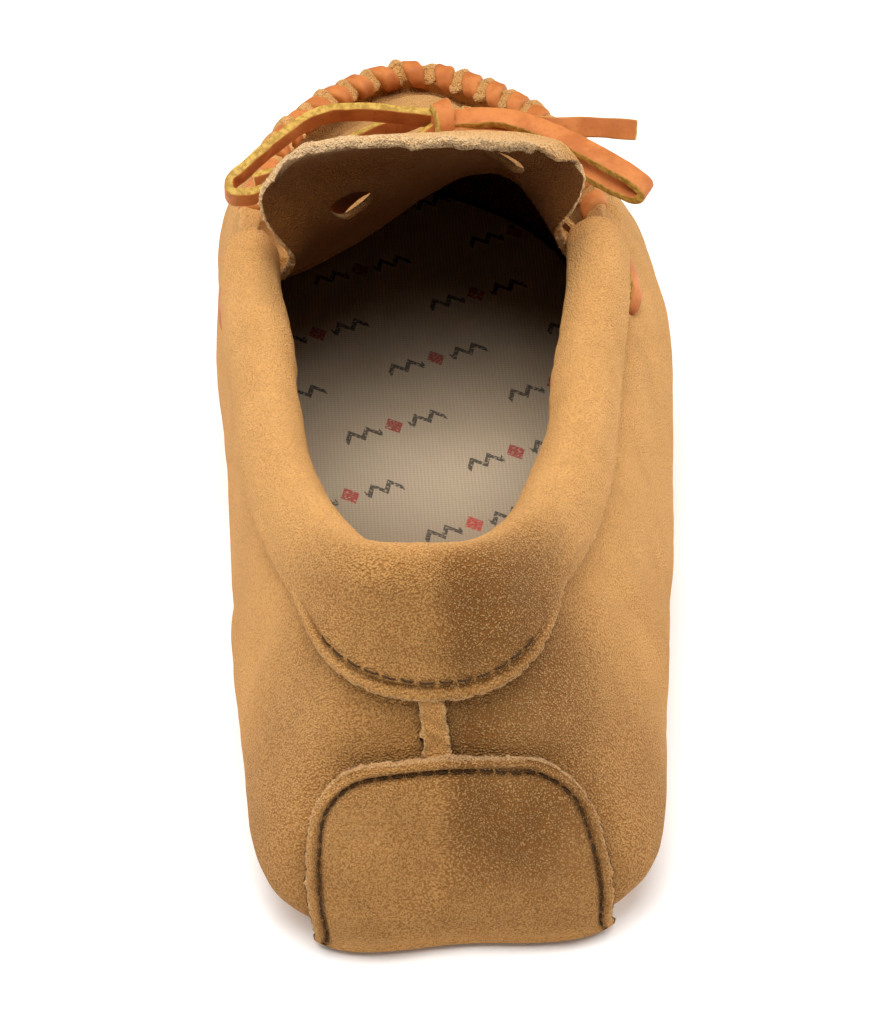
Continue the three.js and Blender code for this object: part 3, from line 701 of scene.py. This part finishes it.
def make_plug_and_tongue():
    sides = np.linspace(-1, 1, 15)
    flap = [tongue_point(sides, lerp(fold_up(sides) + 0.015, 1, share))
            for share in np.arange(6, 0, -1) / 6]
    root = [tongue_point(sides, share * fold_up(sides)) for share in (1, 0.75, 0.5, 0.25)]
    turns = list(range(FRONT, TOE - 1)) + [TOE - 1, TOE - 0.6, TOE - 0.25, TOE - 0.03]
    coarse = np.stack(flap + root + [plug_row(t) for t in turns])
    rows, cols = PLUG_GRID
    grid = widened(through(coarse, np.linspace(0, 1, rows)), cols)
    grid, slits, slot_shade = open_slots(grid, len(flap), (rows - 1) / (len(coarse) - 1))
    index = np.linspace(0, len(coarse) - 1, rows)
    first = len(flap) + len(root)
    turn = np.interp(index, np.arange(first, len(coarse)), turns)[:, None]
    side = np.linspace(-1, 1, cols)[None]
    on_plug = smooth((index - first + 1) / 1.5)[:, None]
    edge = 1 - np.abs(side)
    signed = np.where(side > 0, turn, AROUND - turn)
    relief = on_plug * pucker(signed) * (0.7 * bell(edge - 0.02, 0.12) + 0.35 * bell(edge - 0.05, 0.3))
    relief += 0.4 * ripple(grid, 40, 21) + 0.15 * ripple(grid, 14, 22) + 0.05 * ripple(grid, 5, 23)
    rim = bell(index / len(flap), 0.16)[:, None]
    relief += rim * 0.35 * ripple(grid, 6, 24)
    normal = grid_normals(grid)
    if (normal[rows // 3, cols // 2] * np.array([0, 1, 0.2])).sum() < 0:
        normal = -normal
    relief = relief * smooth((index[-1] - index) / 1.5)[:, None]
    upper = grid + normal * relief[..., None]
    lower = upper - normal * SUEDE * (1 + 0.45 * rim[..., None])
    pale = 0.55 * bell(index / len(flap), 0.22)[:, None]
    # The dark mark round the slots is painted shade.
    return section_mesh("plug_and_tongue", upper, lower, {"dark": slot_shade, "raw": pale}, slits,
                        1 - 0.9 * on_plug[:, 0])


# ---- flat plates under the foot ----
def make_plate(name, inset, bottom, thick, dish, edge):
    """A soft plate of the sole's outline less the inset, dished a little."""
    rim = rim_rows(PLATE_TURNS, inset, bottom, thick, edge, 7)
    below, above = floor_rows(rim[0], 10)[::-1], floor_rows(rim[-1], 40)
    for k, row in enumerate(above):
        share = smooth((k + 1) / 12)
        row[:, 2] -= dish * share
        row[:, 2] += 0.12 * ripple(row, 26, 31) * share
    return round_shell(name, np.stack(below + rim + above, 1))


# ---- thongs ----
def spaced(points, count):
    """Points an even way apart along the smooth curve through the given points."""
    dense = through(points, np.linspace(0, 1, 40 * len(points)))
    run = run_along(dense)
    return at_run(np.linspace(0, run[-1], count), run, dense)


def thong_section(width, thick, corner):
    """A rounded flat section as points across and out, with how much each is a cut edge."""
    points = []
    for cx, cy, start in ((1, 1, 0), (-1, 1, 90), (-1, -1, 180), (1, -1, 270)):
        for degrees in np.linspace(start, start + 90, 5):
            a = math.radians(degrees)
            points.append([cx * (width / 2 - corner) + corner * math.cos(a),
                           cy * (thick / 2 - corner) + corner * math.sin(a)])
    points = np.array(points)
    return points, smooth((np.abs(points[:, 0]) - width / 2 + 0.55 * corner) / (0.5 * corner))


def ribbon(name, points, across, width=THONG_WIDTH, thick=THONG_THICK, corner=0.45, seed=1, wander=0.06,
           ochre=1.0, darkening=None):
    """A thong along the points, its width along the given directions. wander is how much its width
    varies, ochre how bare its cut edges are, and stain gives how dark each of its points is."""
    points, across = np.asarray(points, float), np.asarray(across, float) + 0 * np.asarray(points)
    along = unit(np.gradient(points, axis=0))
    side = unit(across - along * (across * along).sum(-1, keepdims=True))
    face = np.cross(side, along)
    section, cut = thong_section(width, thick, corner)
    narrow = 1 + wander * ripple(points, 9, seed)[:, None, None]
    grid = (points[:, None] + side[:, None] * section[None, :, :1] * narrow
            + face[:, None] * section[None, :, 1:] * (2 - narrow))
    grid += face[:, None] * 0.08 * ripple(grid, 3.5, seed + 1)[..., None]
    ends = []
    for row, out in ((0, -along[0]), (-1, along[-1])):
        centre = points[row] + out * 0.15
        ends.append([lerp(grid[row], centre, share) + out * 0.12 for share in (0.15, 0.5, 0.98)])
    grid = np.concatenate([np.stack(ends[0][::-1]), grid, np.stack(ends[1])])
    edge = np.broadcast_to(cut, grid.shape[:2]).copy()
    edge[:3] = edge[-3:] = 1
    faces = grid_faces(len(grid), grid.shape[1], False, True)
    if volume_of(grid.reshape(-1, 3), faces) < 0:
        faces = faces[:, ::-1]
    marks = {"cut": ochre * edge}
    if darkening:
        marks["dark"] = darkening(grid)
    return make_mesh(name, grid, faces, marks)


def seam_point(turn, across, height):
    """A point across and above the middle of the laced seam, and the seam's direction there."""
    rise = unit(wall(turn, 1) - wall(turn, 0.9))
    point = skin(turn, 1, -SEAM_MIDDLE) + wall_normal(turn, 1) * across[..., None]
    along = unit(wall(turn + 0.5, 1) - wall(turn - 0.5, 1))
    return point + rise * height[..., None] + np.array([0, 0, RIM_LIFT]), along


def make_toe_lace():
    """The lace whipped over the seam, a number of turns with the same few points each."""
    way = np.array([(n + share, across, height)
                    for n in range(WHIPS) for across, height, share in WHIP_TURN])
    points, along = seam_point(np.interp(way[:, 0] / WHIPS, SEAM_RUN, SEAM_TURNS), way[:, 1], way[:, 2])
    t = np.linspace(0, 1, (len(points) - 1) * 8 + 1)
    return ribbon("toe_whip_lace", through(points, t), unit(through(along, t)), THONG_WIDTH + 0.1,
                  THONG_THICK + 0.5, corner=1.15, seed=40, wander=0.07, ochre=0.12)


def seam_roll():
    """The two leather edges pressed together under the whipping, plump between its turns."""
    turn = np.linspace(FRONT - SEAM_MARGIN, AROUND - FRONT + SEAM_MARGIN, 1000)
    points, _ = seam_point(turn, 0 * turn, 0.5 * pucker(turn) - 0.9)
    return ribbon("seam_roll", points, wall_normal(turn, 1), width=4.4, thick=2.8,
                  corner=1.35, seed=38, wander=0.03)


def lace_inside_collar():
    turn = np.linspace(-FRONT + 2, FRONT - 2, 160)
    out = flat(wall_normal(turn, 1))
    points = wall(turn, 1) + out * ((ROLL_OUT - ROLL_IN) / 2 + 0.4) + np.array([0, 0, 3.4])
    return ribbon("lace_inside_collar", points, [0, 0, 1], seed=50)


def side_lace(name, sign):
    """The lace where it comes from under the collar and dives into the wall."""
    end = SIDE_HOLES[sign]
    way = np.array([(end + 1.25, 0.96, 1.3), (end + 0.7, 0.915, 1.7), (end + 0.25, HOLE_UP + 0.03, 1.2),
                    (end + 0.03, HOLE_UP + 0.008, -0.2), (end, HOLE_UP, -2.2)])
    points = spaced(skin(sign * way[:, 0], way[:, 1], way[:, 2]), 50)
    return ribbon(name, points, wall(sign * end, 0.9) - wall(sign * end, 0.8), width=3.8, thick=1.7,
                  seed=52 + sign)


# The bow's middle, and the routes of its loops and loose ends, each from the knot outwards.
KNOT = np.array([4.5, 161.5, 81.5])
BOW_LEFT = [
    [3.2, 163.4, 80.6], [-5.6, 164.5, 81.4], [-12.6, 164, 82.5], [-18.6, 162.5, 83.1], [-23.4, 160, 82.9],
    [-28.5, 155.5, 81.8], [-33, 151.8, 80.2], [-36.6, 148.8, 78.4], [-39.2, 147, 76.9],
    [-39.2, 144.7, 75.7], [-36, 144.6, 75.2], [-31.5, 146.6, 75.2], [-27, 149.5, 74], [-20, 153.3, 72.4],
    [-12, 156, 73], [-5, 157.8, 75.6], [3.4, 160.2, 79.3]]
BOW_RIGHT = [
    [6, 163, 80.6], [15.4, 163, 80.8], [20.5, 161.5, 80.5], [26.4, 158.5, 79.6], [32.3, 154.5, 78.6],
    [38.1, 150, 77.3], [42.7, 146.8, 75.8], [44.9, 145.2, 74], [43.8, 145.9, 72.2], [40, 148.6, 72.3],
    [34.3, 152.5, 73.6], [28.4, 156, 75], [22.4, 158.8, 76.4], [15, 160.5, 77.6], [6, 160.8, 79.2]]
TAIL_RIGHT = [[8.9, 168.3, 77.9], [17, 169.5, 75.2], [27.3, 169, 74.2], [36, 168, 74.6], [44.9, 166, 74.9]]
TAIL_LEFT = [[0, 168.3, 78.5], [-12, 168.5, 72.5], [-24, 167.5, 66.5], [-34, 166, 64.5]]
# The way each lace's width faces: one direction, or several along it.
UPRIGHT, NEARLY_FLAT, FACING_BACK = ([0, 0, 1],), ([0.5, 0.82, 0.25],), ([0, 0.55, 0.83],)
LEANING = ([0, -0.36, 0.93], [0, -0.36, 0.93], [0, -0.4, 0.9], [0, -0.6, 0.8], [0, 0.3, 0.95])


def free_lace(name, route, node, seed, across=UPRIGHT):
    """A loop or a tail of the bow. across is its width's way, which may turn along the route."""
    points = spaced(route, 150)
    turning = through(across, np.linspace(0, 1, 150)) if len(across) > 1 else across[0]
    piece = ribbon(name, points, turning, corner=0.35, seed=seed)
    dress(piece, "thong", [node])
    path = metres(points)


def make_knot():
    """The lace wrapped round the middle of the bow, turned a little so that its cut edge shows."""
    twist = math.radians(40)
    across = np.array([math.cos(twist), math.sin(twist), 0])
    angle = np.linspace(-0.9, 2 * math.pi + 0.2, 90)
    depth, height = 2.3 * np.cos(angle) + 0.2, 3.8 * np.sin(angle) * (1 + 0.04 * np.sin(angle * 2)) - 0.8
    points = KNOT + np.stack([-depth * math.sin(twist), depth * math.cos(twist), height], -1)
    points = points + across * (1.2 * np.cos(angle))[:, None]
    wrap = ribbon("bow_knot_wrap", points, across, width=4.2, corner=0.4, seed=60, wander=0.04)
    middle = KNOT + across * np.linspace(-1.6, 2.4, 12)[:, None] - np.array([0, 0, 0.8])
    core = ribbon("bow_knot_core", middle, [0, 0, 1], width=6, thick=3.2, corner=1.4, seed=62, ochre=0)
    return join("bow_knot_wrap", [wrap, core])


TONGUE_LACE = ((0.84, 0.23), (0.7, 0.29), (0.56, 0.335), (0.32, 0.33))  # across and up the tongue


def tongue_lace(name, sign):
    """The lace along the front of the tongue to the knot, with painted shade where it shows through its
    slot.
    """
    side, up = np.array([(sign * a, b) for a, b in TONGUE_LACE]).T
    point, rise, out = tongue_frame(side, up)
    proud = 2 * GAP + THONG_THICK / 2
    points = np.concatenate([point + out * proud, [KNOT + np.array([sign * 2.4, -3, -3.4])]])
    slot, _, out = tongue_frame(np.array(sign * SLOT_SIDE), np.array(SLOT_UP))

    # Painted shade near the slot. The cut edges are mostly rust rather than ochre, as painted shade too.
    def darkening(grid):
        away = grid - slot
        return bell(np.linalg.norm(away, axis=-1), 8) * (away @ out < proud + 0.1)

    return ribbon(name, spaced(points, 70), rise[2], seed=70 + sign, ochre=0.15, darkening=darkening)


# ---- sewing ----
STITCH_SINK, STITCH_RINGS, STITCH_SIDES = 0.6, 9, 8


def stitches(name, route, normal, length, gap, thick):
    """A row of separate stitches along a route, each dipping into the leather at its ends."""
    run = run_along(route)
    rng = np.random.default_rng(5)
    share = np.linspace(-1, 1, STITCH_RINGS)
    points, faces = [], []
    for n in range(int(run[-1] / (length + gap))):
        start = n * (length + gap) + rng.uniform(-0.15, 0.15)
        s = np.linspace(start, start + length * rng.uniform(0.9, 1.05), STITCH_RINGS)
        centre, out = at_run(s, run, route), unit(at_run(s, run, normal))
        side = np.cross(out, unit(np.gradient(centre, axis=0)))
        centre = centre - out * (STITCH_SINK * np.abs(share) ** 3)[:, None]
        centre = centre + side * (rng.uniform(-0.12, 0.12) + 0.1 * share * rng.uniform(-1, 1))[:, None]
        radius = thick / 2 * np.sqrt(np.clip(1.02 - share ** 4, 0, 1))[:, None]
        ring = [centre + (side * math.cos(a) + out * math.sin(a)) * radius
                for a in np.linspace(0, 2 * math.pi, STITCH_SIDES, endpoint=False)]
        points.append(np.stack(ring, 1).reshape(-1, 3))
        faces.append(grid_faces(STITCH_RINGS, STITCH_SIDES, False, True) + n * STITCH_RINGS * STITCH_SIDES)
    return make_mesh(name, np.concatenate(points), np.concatenate(faces)[:, ::-1])


def collar_stitches():
    """The row along the collar's hem at the back of the heel."""
    turn = np.linspace(-4.9, 4.6, 240)
    up = collar_low(turn) + 0.036
    route = skin(turn, up, 2 * GAP + SUEDE + 0.15)
    return stitches("collar_stitches", route, wall_normal(turn, up), length=3.0, gap=0.5, thick=0.45)


def tab_stitches():
    """The row round the heel tab, an even way in from its edge."""
    s_side, r_top = 1 - STITCH_IN / TAB_SPAN, 1 - STITCH_IN / TAB_RISE
    corner = np.linspace(0, math.pi / 2, 14)[1:-1]
    cs, cr = 0.2, 0.13  # the corner's share of the tab's half width and height
    up_side = ([[-s_side, r] for r in np.linspace(0.02, r_top - cr, 30)]
               + [[-s_side + cs * (1 - math.cos(a)), r_top - cr + cr * math.sin(a)] for a in corner])
    over_top = [[s, r_top] for s in np.linspace(-s_side + cs, s_side - cs, 40)]
    s, r = np.array(up_side + over_top + [[-s, r] for s, r in up_side[::-1]]).T
    out = 2 * GAP + SOLE_THICK - 0.15
    route = tab_point(s, r, out)
    normal = unit(tab_point(s, r, out + 1) - route)
    return stitches("heel_tab_stitches", route, normal, length=2.4, gap=0.3, thick=0.42)


def make_tape():
    """The strip that closes the back seam between the collar and the heel tab."""
    turn, up = np.meshgrid(np.linspace(-0.75, 0.0, 30), np.linspace(0.6, 0.83, 70), indexing="ij")
    base = wall(turn, up)
    relief = 0.25 * ripple(base, 3, 81) + 0.2 * ripple(base, 8, 82)
    upper, lower = skin(turn, up, 1.5 + relief), skin(turn, up, 0.3)
    return section_mesh("back_seam_strip", upper, lower, {"dark": 0.25})


# ---- materials ----
class Paint:
    """A material being made, with a short way to add each kind of node to it."""

    def __init__(self, name):
        self.material = bpy.data.materials.new(name)
        self.material.use_nodes = True
        self.tree = self.material.node_tree
        self.tree.nodes.clear()
        self.shader = self.node("BsdfPrincipled")
        self.tree.links.new(self.shader.outputs[0], self.node("OutputMaterial").inputs[0])
        self.at = self.node("TexCoord").outputs["Object"]

    def feed(self, made, inputs):
        """Link or set a node's inputs. Each is named, or numbered as i0, i1 and so on."""
        for key, value in inputs.items():
            numbered = key[0] == "i" and key[1:].isdigit()
            socket = made.inputs[int(key[1:]) if numbered else key.replace("_", " ")]
            if isinstance(value, bpy.types.NodeSocket):
                self.tree.links.new(value, socket)
            else:
                socket.default_value = value

    def node(self, kind, settings=None, **inputs):
        made = self.tree.nodes.new("ShaderNode" + kind)
        for key, value in (settings or {}).items():
            setattr(made, key, value)
        self.feed(made, inputs)
        return made

    def maths(self, operation, a, b=0.0, c=0.0):
        return self.node("Math", {"operation": operation}, i0=a, i1=b, i2=c).outputs[0]

    def times(self, a, b):
        return self.maths("MULTIPLY", a, b)

    def mix(self, share, a, b):
        return self.node("Mix", {"data_type": "RGBA"}, i0=share, i6=a, i7=b).outputs[2]

    def ramp(self, value, low, high):
        """0 below low, 1 above high."""
        return self.node("MapRange", {"interpolation_type": "SMOOTHSTEP"}, Value=value, From_Min=low,
                         From_Max=high).outputs[0]

    def mark(self, name):
        return self.node("Attribute", {"attribute_name": name}).outputs["Fac"]

    def noise(self, scale, detail=2.0, roughness=0.5):
        return self.node("TexNoise", Vector=self.at, Scale=scale, Detail=detail,
                         Roughness=roughness).outputs[0]

    def bump(self, height, strength, distance):
        return self.node("Bump", Strength=strength, Distance=distance, Height=height).outputs[0]

    def finish(self, colour, roughness, specular, **others):
        self.feed(self.shader, {"Base Color": colour, "Roughness": roughness,
                                "Specular IOR Level": specular, **others})
        return self.material


def rgb(r, g, b):
    return (r, g, b, 1.0)


def make_suede(name, light, middle, dark, brown, raw, flesh_and_shade, grain=1.0):
    """Napped suede. The grain is short fibres that lie in drifting directions."""
    p = Paint(name)
    drift = p.node("TexNoise", Vector=p.at, Scale=70.0, Detail=1.0).outputs[1]
    p.at = p.node("VectorMath", {"operation": "MULTIPLY_ADD"}, i0=drift, i1=(0.0035,) * 3,
                  i2=p.at).outputs[0]
    fibres = p.noise(2300.0 * grain, 3.0, 0.62)
    grains = p.node("TexVoronoi", Vector=p.at, Scale=2500.0 * grain).outputs[0]
    tufts = p.maths("SUBTRACT", 1.03, grains)
    nap = p.maths("MULTIPLY_ADD", fibres, 0.5, p.times(tufts, 0.5))
    patches, broad = p.noise(42.0, 3.0, 0.55), p.noise(13.0)
    colour = p.mix(p.times(p.ramp(broad, 0.45, 0.7), 0.16), middle, brown)
    # The dark mark browns the suede: painted shade, and the back seam strip's own browner tone.
    colour = p.mix(p.times(p.mark("dark"), 0.9), colour, brown)
    # Pits darker and tips lighter: the suede's own speckle, partly painted shade and highlight on its
    # grain, and stronger where the dark mark is, standing for raking light.
    depth = p.maths("MULTIPLY_ADD", p.mark("dark"), 0.62, 0.3)
    pits = p.times(p.ramp(nap, 0.52, 0.41), depth)
    tips = p.times(p.ramp(nap, 0.52, 0.65), p.times(depth, 0.5))
    colour = p.mix(tips, p.mix(pits, colour, dark), light)
    colour = p.mix(p.times(p.ramp(patches, 0.42, 0.68), 0.14), colour, light)
    # The inner face's own brown, set much darker to stand for the shade inside the shoe: partly painted
    # shade.
    colour = p.mix(p.times(p.mark("flesh_and_shade"), 0.9), colour, flesh_and_shade)
    edge = p.times(p.mark("raw"), p.ramp(fibres, 0.33, 0.5))
    colour = p.mix(p.times(edge, 0.85), colour, raw)
    height = p.maths("MULTIPLY_ADD", fibres, 0.7, p.times(tufts, 0.7))
    return p.finish(colour, 0.92, 0.12, Normal=p.bump(height, 1.0, 0.0007), Sheen_Weight=0.08,
                    Sheen_Roughness=0.45, Sheen_Tint=rgb(1.0, 0.86, 0.66))


def make_thong():
    """Smooth lace leather, rust on its faces and ochre where it was cut."""
    p = Paint("thong_leather")
    grain, blotch = p.noise(900.0, 4.0, 0.6), p.noise(160.0, 3.0, 0.55)
    face = p.mix(p.ramp(blotch, 0.35, 0.65), rgb(0.43, 0.125, 0.028), rgb(0.56, 0.190, 0.048))
    face = p.mix(p.times(p.ramp(grain, 0.52, 0.72), 0.35), face, rgb(0.28, 0.08, 0.03))
    cut = p.mix(p.ramp(grain, 0.38, 0.62), rgb(0.34, 0.190, 0.028), rgb(0.56, 0.345, 0.070))
    colour = p.mix(p.mark("cut"), face, cut)
    # Painted shade: where the lace shows through the tongue's slot, the dark mark turns it near black.
    colour = p.mix(p.times(p.mark("dark"), 0.95), colour, rgb(0.030, 0.005, 0.003))
    height = p.maths("MULTIPLY_ADD", grain, 0.6, p.times(blotch, 0.4))
    rough = p.node("MapRange", Value=grain, To_Min=0.48, To_Max=0.72).outputs[0]
    return p.finish(colour, rough, 0.22, Normal=p.bump(height, 0.35, 0.0004))


def make_thread():
    p = Paint("sewing_thread")
    twist = p.node("TexWave", {"bands_direction": "DIAGONAL"}, Vector=p.at, Scale=900.0,
                   Distortion=1.0).outputs[1]
    colour = p.mix(twist, rgb(0.040, 0.020, 0.009), rgb(0.100, 0.052, 0.024))
    return p.finish(colour, 0.9, 0.08, Normal=p.bump(twist, 0.5, 0.0002))


def make_liner_material():
    """Woven lining, greige, printed with rows of zigzags and small diamonds, and darker and browner at the
    heel as painted shade.
    """
    p = Paint("woven_lining")
    warp, weft = (p.node("TexWave", {"bands_direction": way}, Vector=p.at, Scale=420.0, Distortion=0.6,
                         Detail=1.0).outputs[1] for way in "XY")
    weave = p.maths("MULTIPLY_ADD", warp, 0.5, p.times(weft, 0.5))
    fuzz, darkening = p.noise(1500.0), p.noise(28.0, 3.0)
    # Painted shade: the weave's colour is darker towards the heel.
    shaded_heel_weave = p.mix(weave, rgb(0.170, 0.118, 0.068), rgb(0.232, 0.166, 0.102))
    unshaded_weave = p.mix(weave, rgb(0.62, 0.47, 0.31), rgb(0.80, 0.63, 0.44))
    along_foot = p.node("SeparateXYZ", i0=p.at).outputs[1]
    colour = p.mix(p.ramp(along_foot, -0.035, 0.025), shaded_heel_weave, unshaded_weave)
    colour = p.mix(p.times(p.ramp(darkening, 0.4, 0.7), 0.3), colour, rgb(0.44, 0.30, 0.17))
    print_ink, diamond = print_marks(p)
    wear_and_shade = p.ramp(fuzz, 0.30, 0.50)
    for ink, ink_colour in ((print_ink, rgb(0.045, 0.035, 0.03)), (diamond, rgb(0.50, 0.035, 0.03))):
        colour = p.mix(p.times(p.times(ink, wear_and_shade), 0.85), colour, ink_colour)
    height = p.maths("MULTIPLY_ADD", fuzz, 0.5, weave)
    return p.finish(colour, 0.9, 0.15, Normal=p.bump(height, 0.5, 0.0003), Sheen_Weight=0.2)


# The lining's print, in metres: its rows, its marks, and the size of each mark's parts.
ROW_PITCH, MARK_PITCH, PRINT_TURN = 0.019, 0.038, math.radians(-21)
ZIG_WIDTH, ZIG_LINE, ZIG_REACH, ZIG_START, DIAMOND = 0.0019, 0.00095, 0.0115, 0.0032, 0.0021


def print_marks(p):
    """Masks of the printed zigzags and of the diamond in the middle of each."""
    turned = p.node("VectorRotate", {"rotation_type": "Z_AXIS"}, Vector=p.at, Angle=PRINT_TURN)
    x, y, _ = p.node("SeparateXYZ", i0=turned.outputs[0]).outputs
    row = p.maths("FLOOR", p.maths("DIVIDE", y, ROW_PITCH))
    along = p.maths("MULTIPLY_ADD", row, 0.5 * MARK_PITCH * 1.04, x)
    u = p.maths("SUBTRACT", p.maths("FLOORED_MODULO", along, MARK_PITCH), MARK_PITCH / 2)
    v = p.maths("SUBTRACT", p.maths("FLOORED_MODULO", y, ROW_PITCH), ROW_PITCH / 2)
    zig = p.maths("PINGPONG", p.maths("ADD", u, MARK_PITCH), ZIG_WIDTH)
    line = p.maths("ABSOLUTE", p.maths("SUBTRACT", p.times(zig, 1.5), p.maths("ADD", v, 0.0015)))
    size = p.maths("ABSOLUTE", u)
    ink = p.times(p.maths("LESS_THAN", line, ZIG_LINE), p.maths("LESS_THAN", size, ZIG_REACH))
    ink = p.times(ink, p.maths("GREATER_THAN", size, ZIG_START))
    spread = p.maths("ADD", size, p.times(p.maths("ABSOLUTE", v), 0.7))
    return ink, p.maths("LESS_THAN", spread, DIAMOND)


MATERIALS = {
    "suede": make_suede("suede_tan", light=rgb(0.84, 0.46, 0.165), middle=rgb(0.72, 0.36, 0.110),
                        dark=rgb(0.26, 0.095, 0.018), brown=rgb(0.13, 0.052, 0.011),
                        raw=rgb(0.82, 0.56, 0.30), flesh_and_shade=rgb(0.145, 0.042, 0.0035)),
    "thong": make_thong(),
    "thread": make_thread(),
    "liner": make_liner_material(),
    "foam": make_suede("foam_cream", light=rgb(0.86, 0.80, 0.66), middle=rgb(0.78, 0.71, 0.57),
                       dark=rgb(0.62, 0.55, 0.42), brown=rgb(0.6, 0.5, 0.36),
                       raw=rgb(0.8, 0.74, 0.6), flesh_and_shade=rgb(0.7, 0.6, 0.45), grain=0.6),
}

# ---- the pieces: the free cords first ----
FOLD_START, FOLD_END = (0, 0.0165, 0.0742), (0, 0.0085, 0.0843)  # across the tongue's fold, in metres
FOAM_INSET, LINER_INSET = 3.4, 3.6

free_lace("bow_loop_inner_side", BOW_LEFT, "bow_loop_left", 61, LEANING)
free_lace("bow_loop_outer_side", BOW_RIGHT, "bow_loop_right", 63, NEARLY_FLAT)
free_lace("bow_tail_inner_side", TAIL_LEFT, "bow_tail_left", 65)
free_lace("bow_tail_outer_side", TAIL_RIGHT, "bow_tail_right", 67, FACING_BACK)
dress(make_knot(), "thong", ["bow_knot"])
dress(join("leather_body_suede", [make_body(), seam_roll()]), "suede", ["leather_body"])
dress(make_collar(), "suede", ["collar"])
dress(make_second_sole(), "suede", ["outer_sole"])
tongue = dress(make_plug_and_tongue(), "suede", ["plug", "tongue_flap"], body=None)
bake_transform(tongue)
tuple(FOLD_START)
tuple(FOLD_END)
dress(make_toe_lace(), "thong", ["toe_lace"])
dress(lace_inside_collar(), "thong", ["collar_lace"])
for make_lace, kind in ((side_lace, "side_lace"), (tongue_lace, "tongue_lace")):
    for sign, side, hand in ((-1, "inner", "left"), (1, "outer", "right")):
        dress(make_lace(f"{kind}_{side}_side", sign), "thong", [f"{kind}_{hand}"])
dress(collar_stitches(), "thread", ["collar_thread"])
dress(tab_stitches(), "thread", ["heel_tab_thread"])
dress(make_tape(), "suede", ["back_seam_tape"])
foam = dress(make_plate("insole_foam_pad", FOAM_INSET, BODY_FLOOR + GAP, FOAM_THICK, dish=0.0, edge=0.6),
             "foam", ["insole_foam"])
liner = dress(make_plate("sock_liner_cloth", LINER_INSET, BODY_FLOOR + 2 * GAP + FOAM_THICK, LINER_THICK,
                         dish=0.15, edge=0.4), "liner", ["sock_liner"])
x, y = metres(sole_point(PLATE_TURNS, LINER_INSET, 0))[:, :2].T


# ---- floor and light ----
FLOOR_REACH, FLOOR_HEIGHT = 6.0, -0.0004


def make_floor():
    p = Paint("studio_floor")
    colour = p.mix(p.noise(60.0), rgb(0.93, 0.93, 0.925), rgb(0.95, 0.95, 0.945))
    mesh = bpy.data.meshes.new("studio_floor")
    mesh.from_pydata([(i * FLOOR_REACH, j * FLOOR_REACH, FLOOR_HEIGHT)
                      for i, j in ((-1, -1), (1, -1), (1, 1), (-1, 1))], [], [(0, 1, 2, 3)])
    mesh.materials.append(p.finish(colour, 1.0, 0.0, Emission_Color=rgb(1, 1, 1), Emission_Strength=0.08))
    floor = bpy.data.objects.new("studio_floor", mesh)
    scene.collection.objects.link(floor)


def area_light(name, place, aim, size, power):
    data = bpy.data.lights.new(name, "AREA")
    data.shape, data.size, data.size_y = "RECTANGLE", *size
    data.energy = power
    light = bpy.data.objects.new(name, data)
    light.location = place
    light.rotation_euler = (Vector(aim) - Vector(place)).to_track_quat("-Z", "Y").to_euler()
    scene.collection.objects.link(light)


make_floor()
area_light("top_softbox", (-0.14, -0.26, 1.3), (0, 0, 0), (1.2, 1.1), 26)
area_light("left_softbox", (-1.2, 0.35, 0.6), (0, 0, 0.03), (0.8, 1.0), 8)
area_light("right_softbox", (1.2, 0.35, 0.6), (0, 0, 0.03), (0.8, 1.0), 13)
world = bpy.data.worlds.new("studio")
scene.world = world
world.use_nodes = True
world.node_tree.nodes["Background"].inputs[0].default_value = rgb(1, 1, 1)
world.node_tree.nodes["Background"].inputs[1].default_value = 0.05
scene.view_settings.view_transform = "Standard"
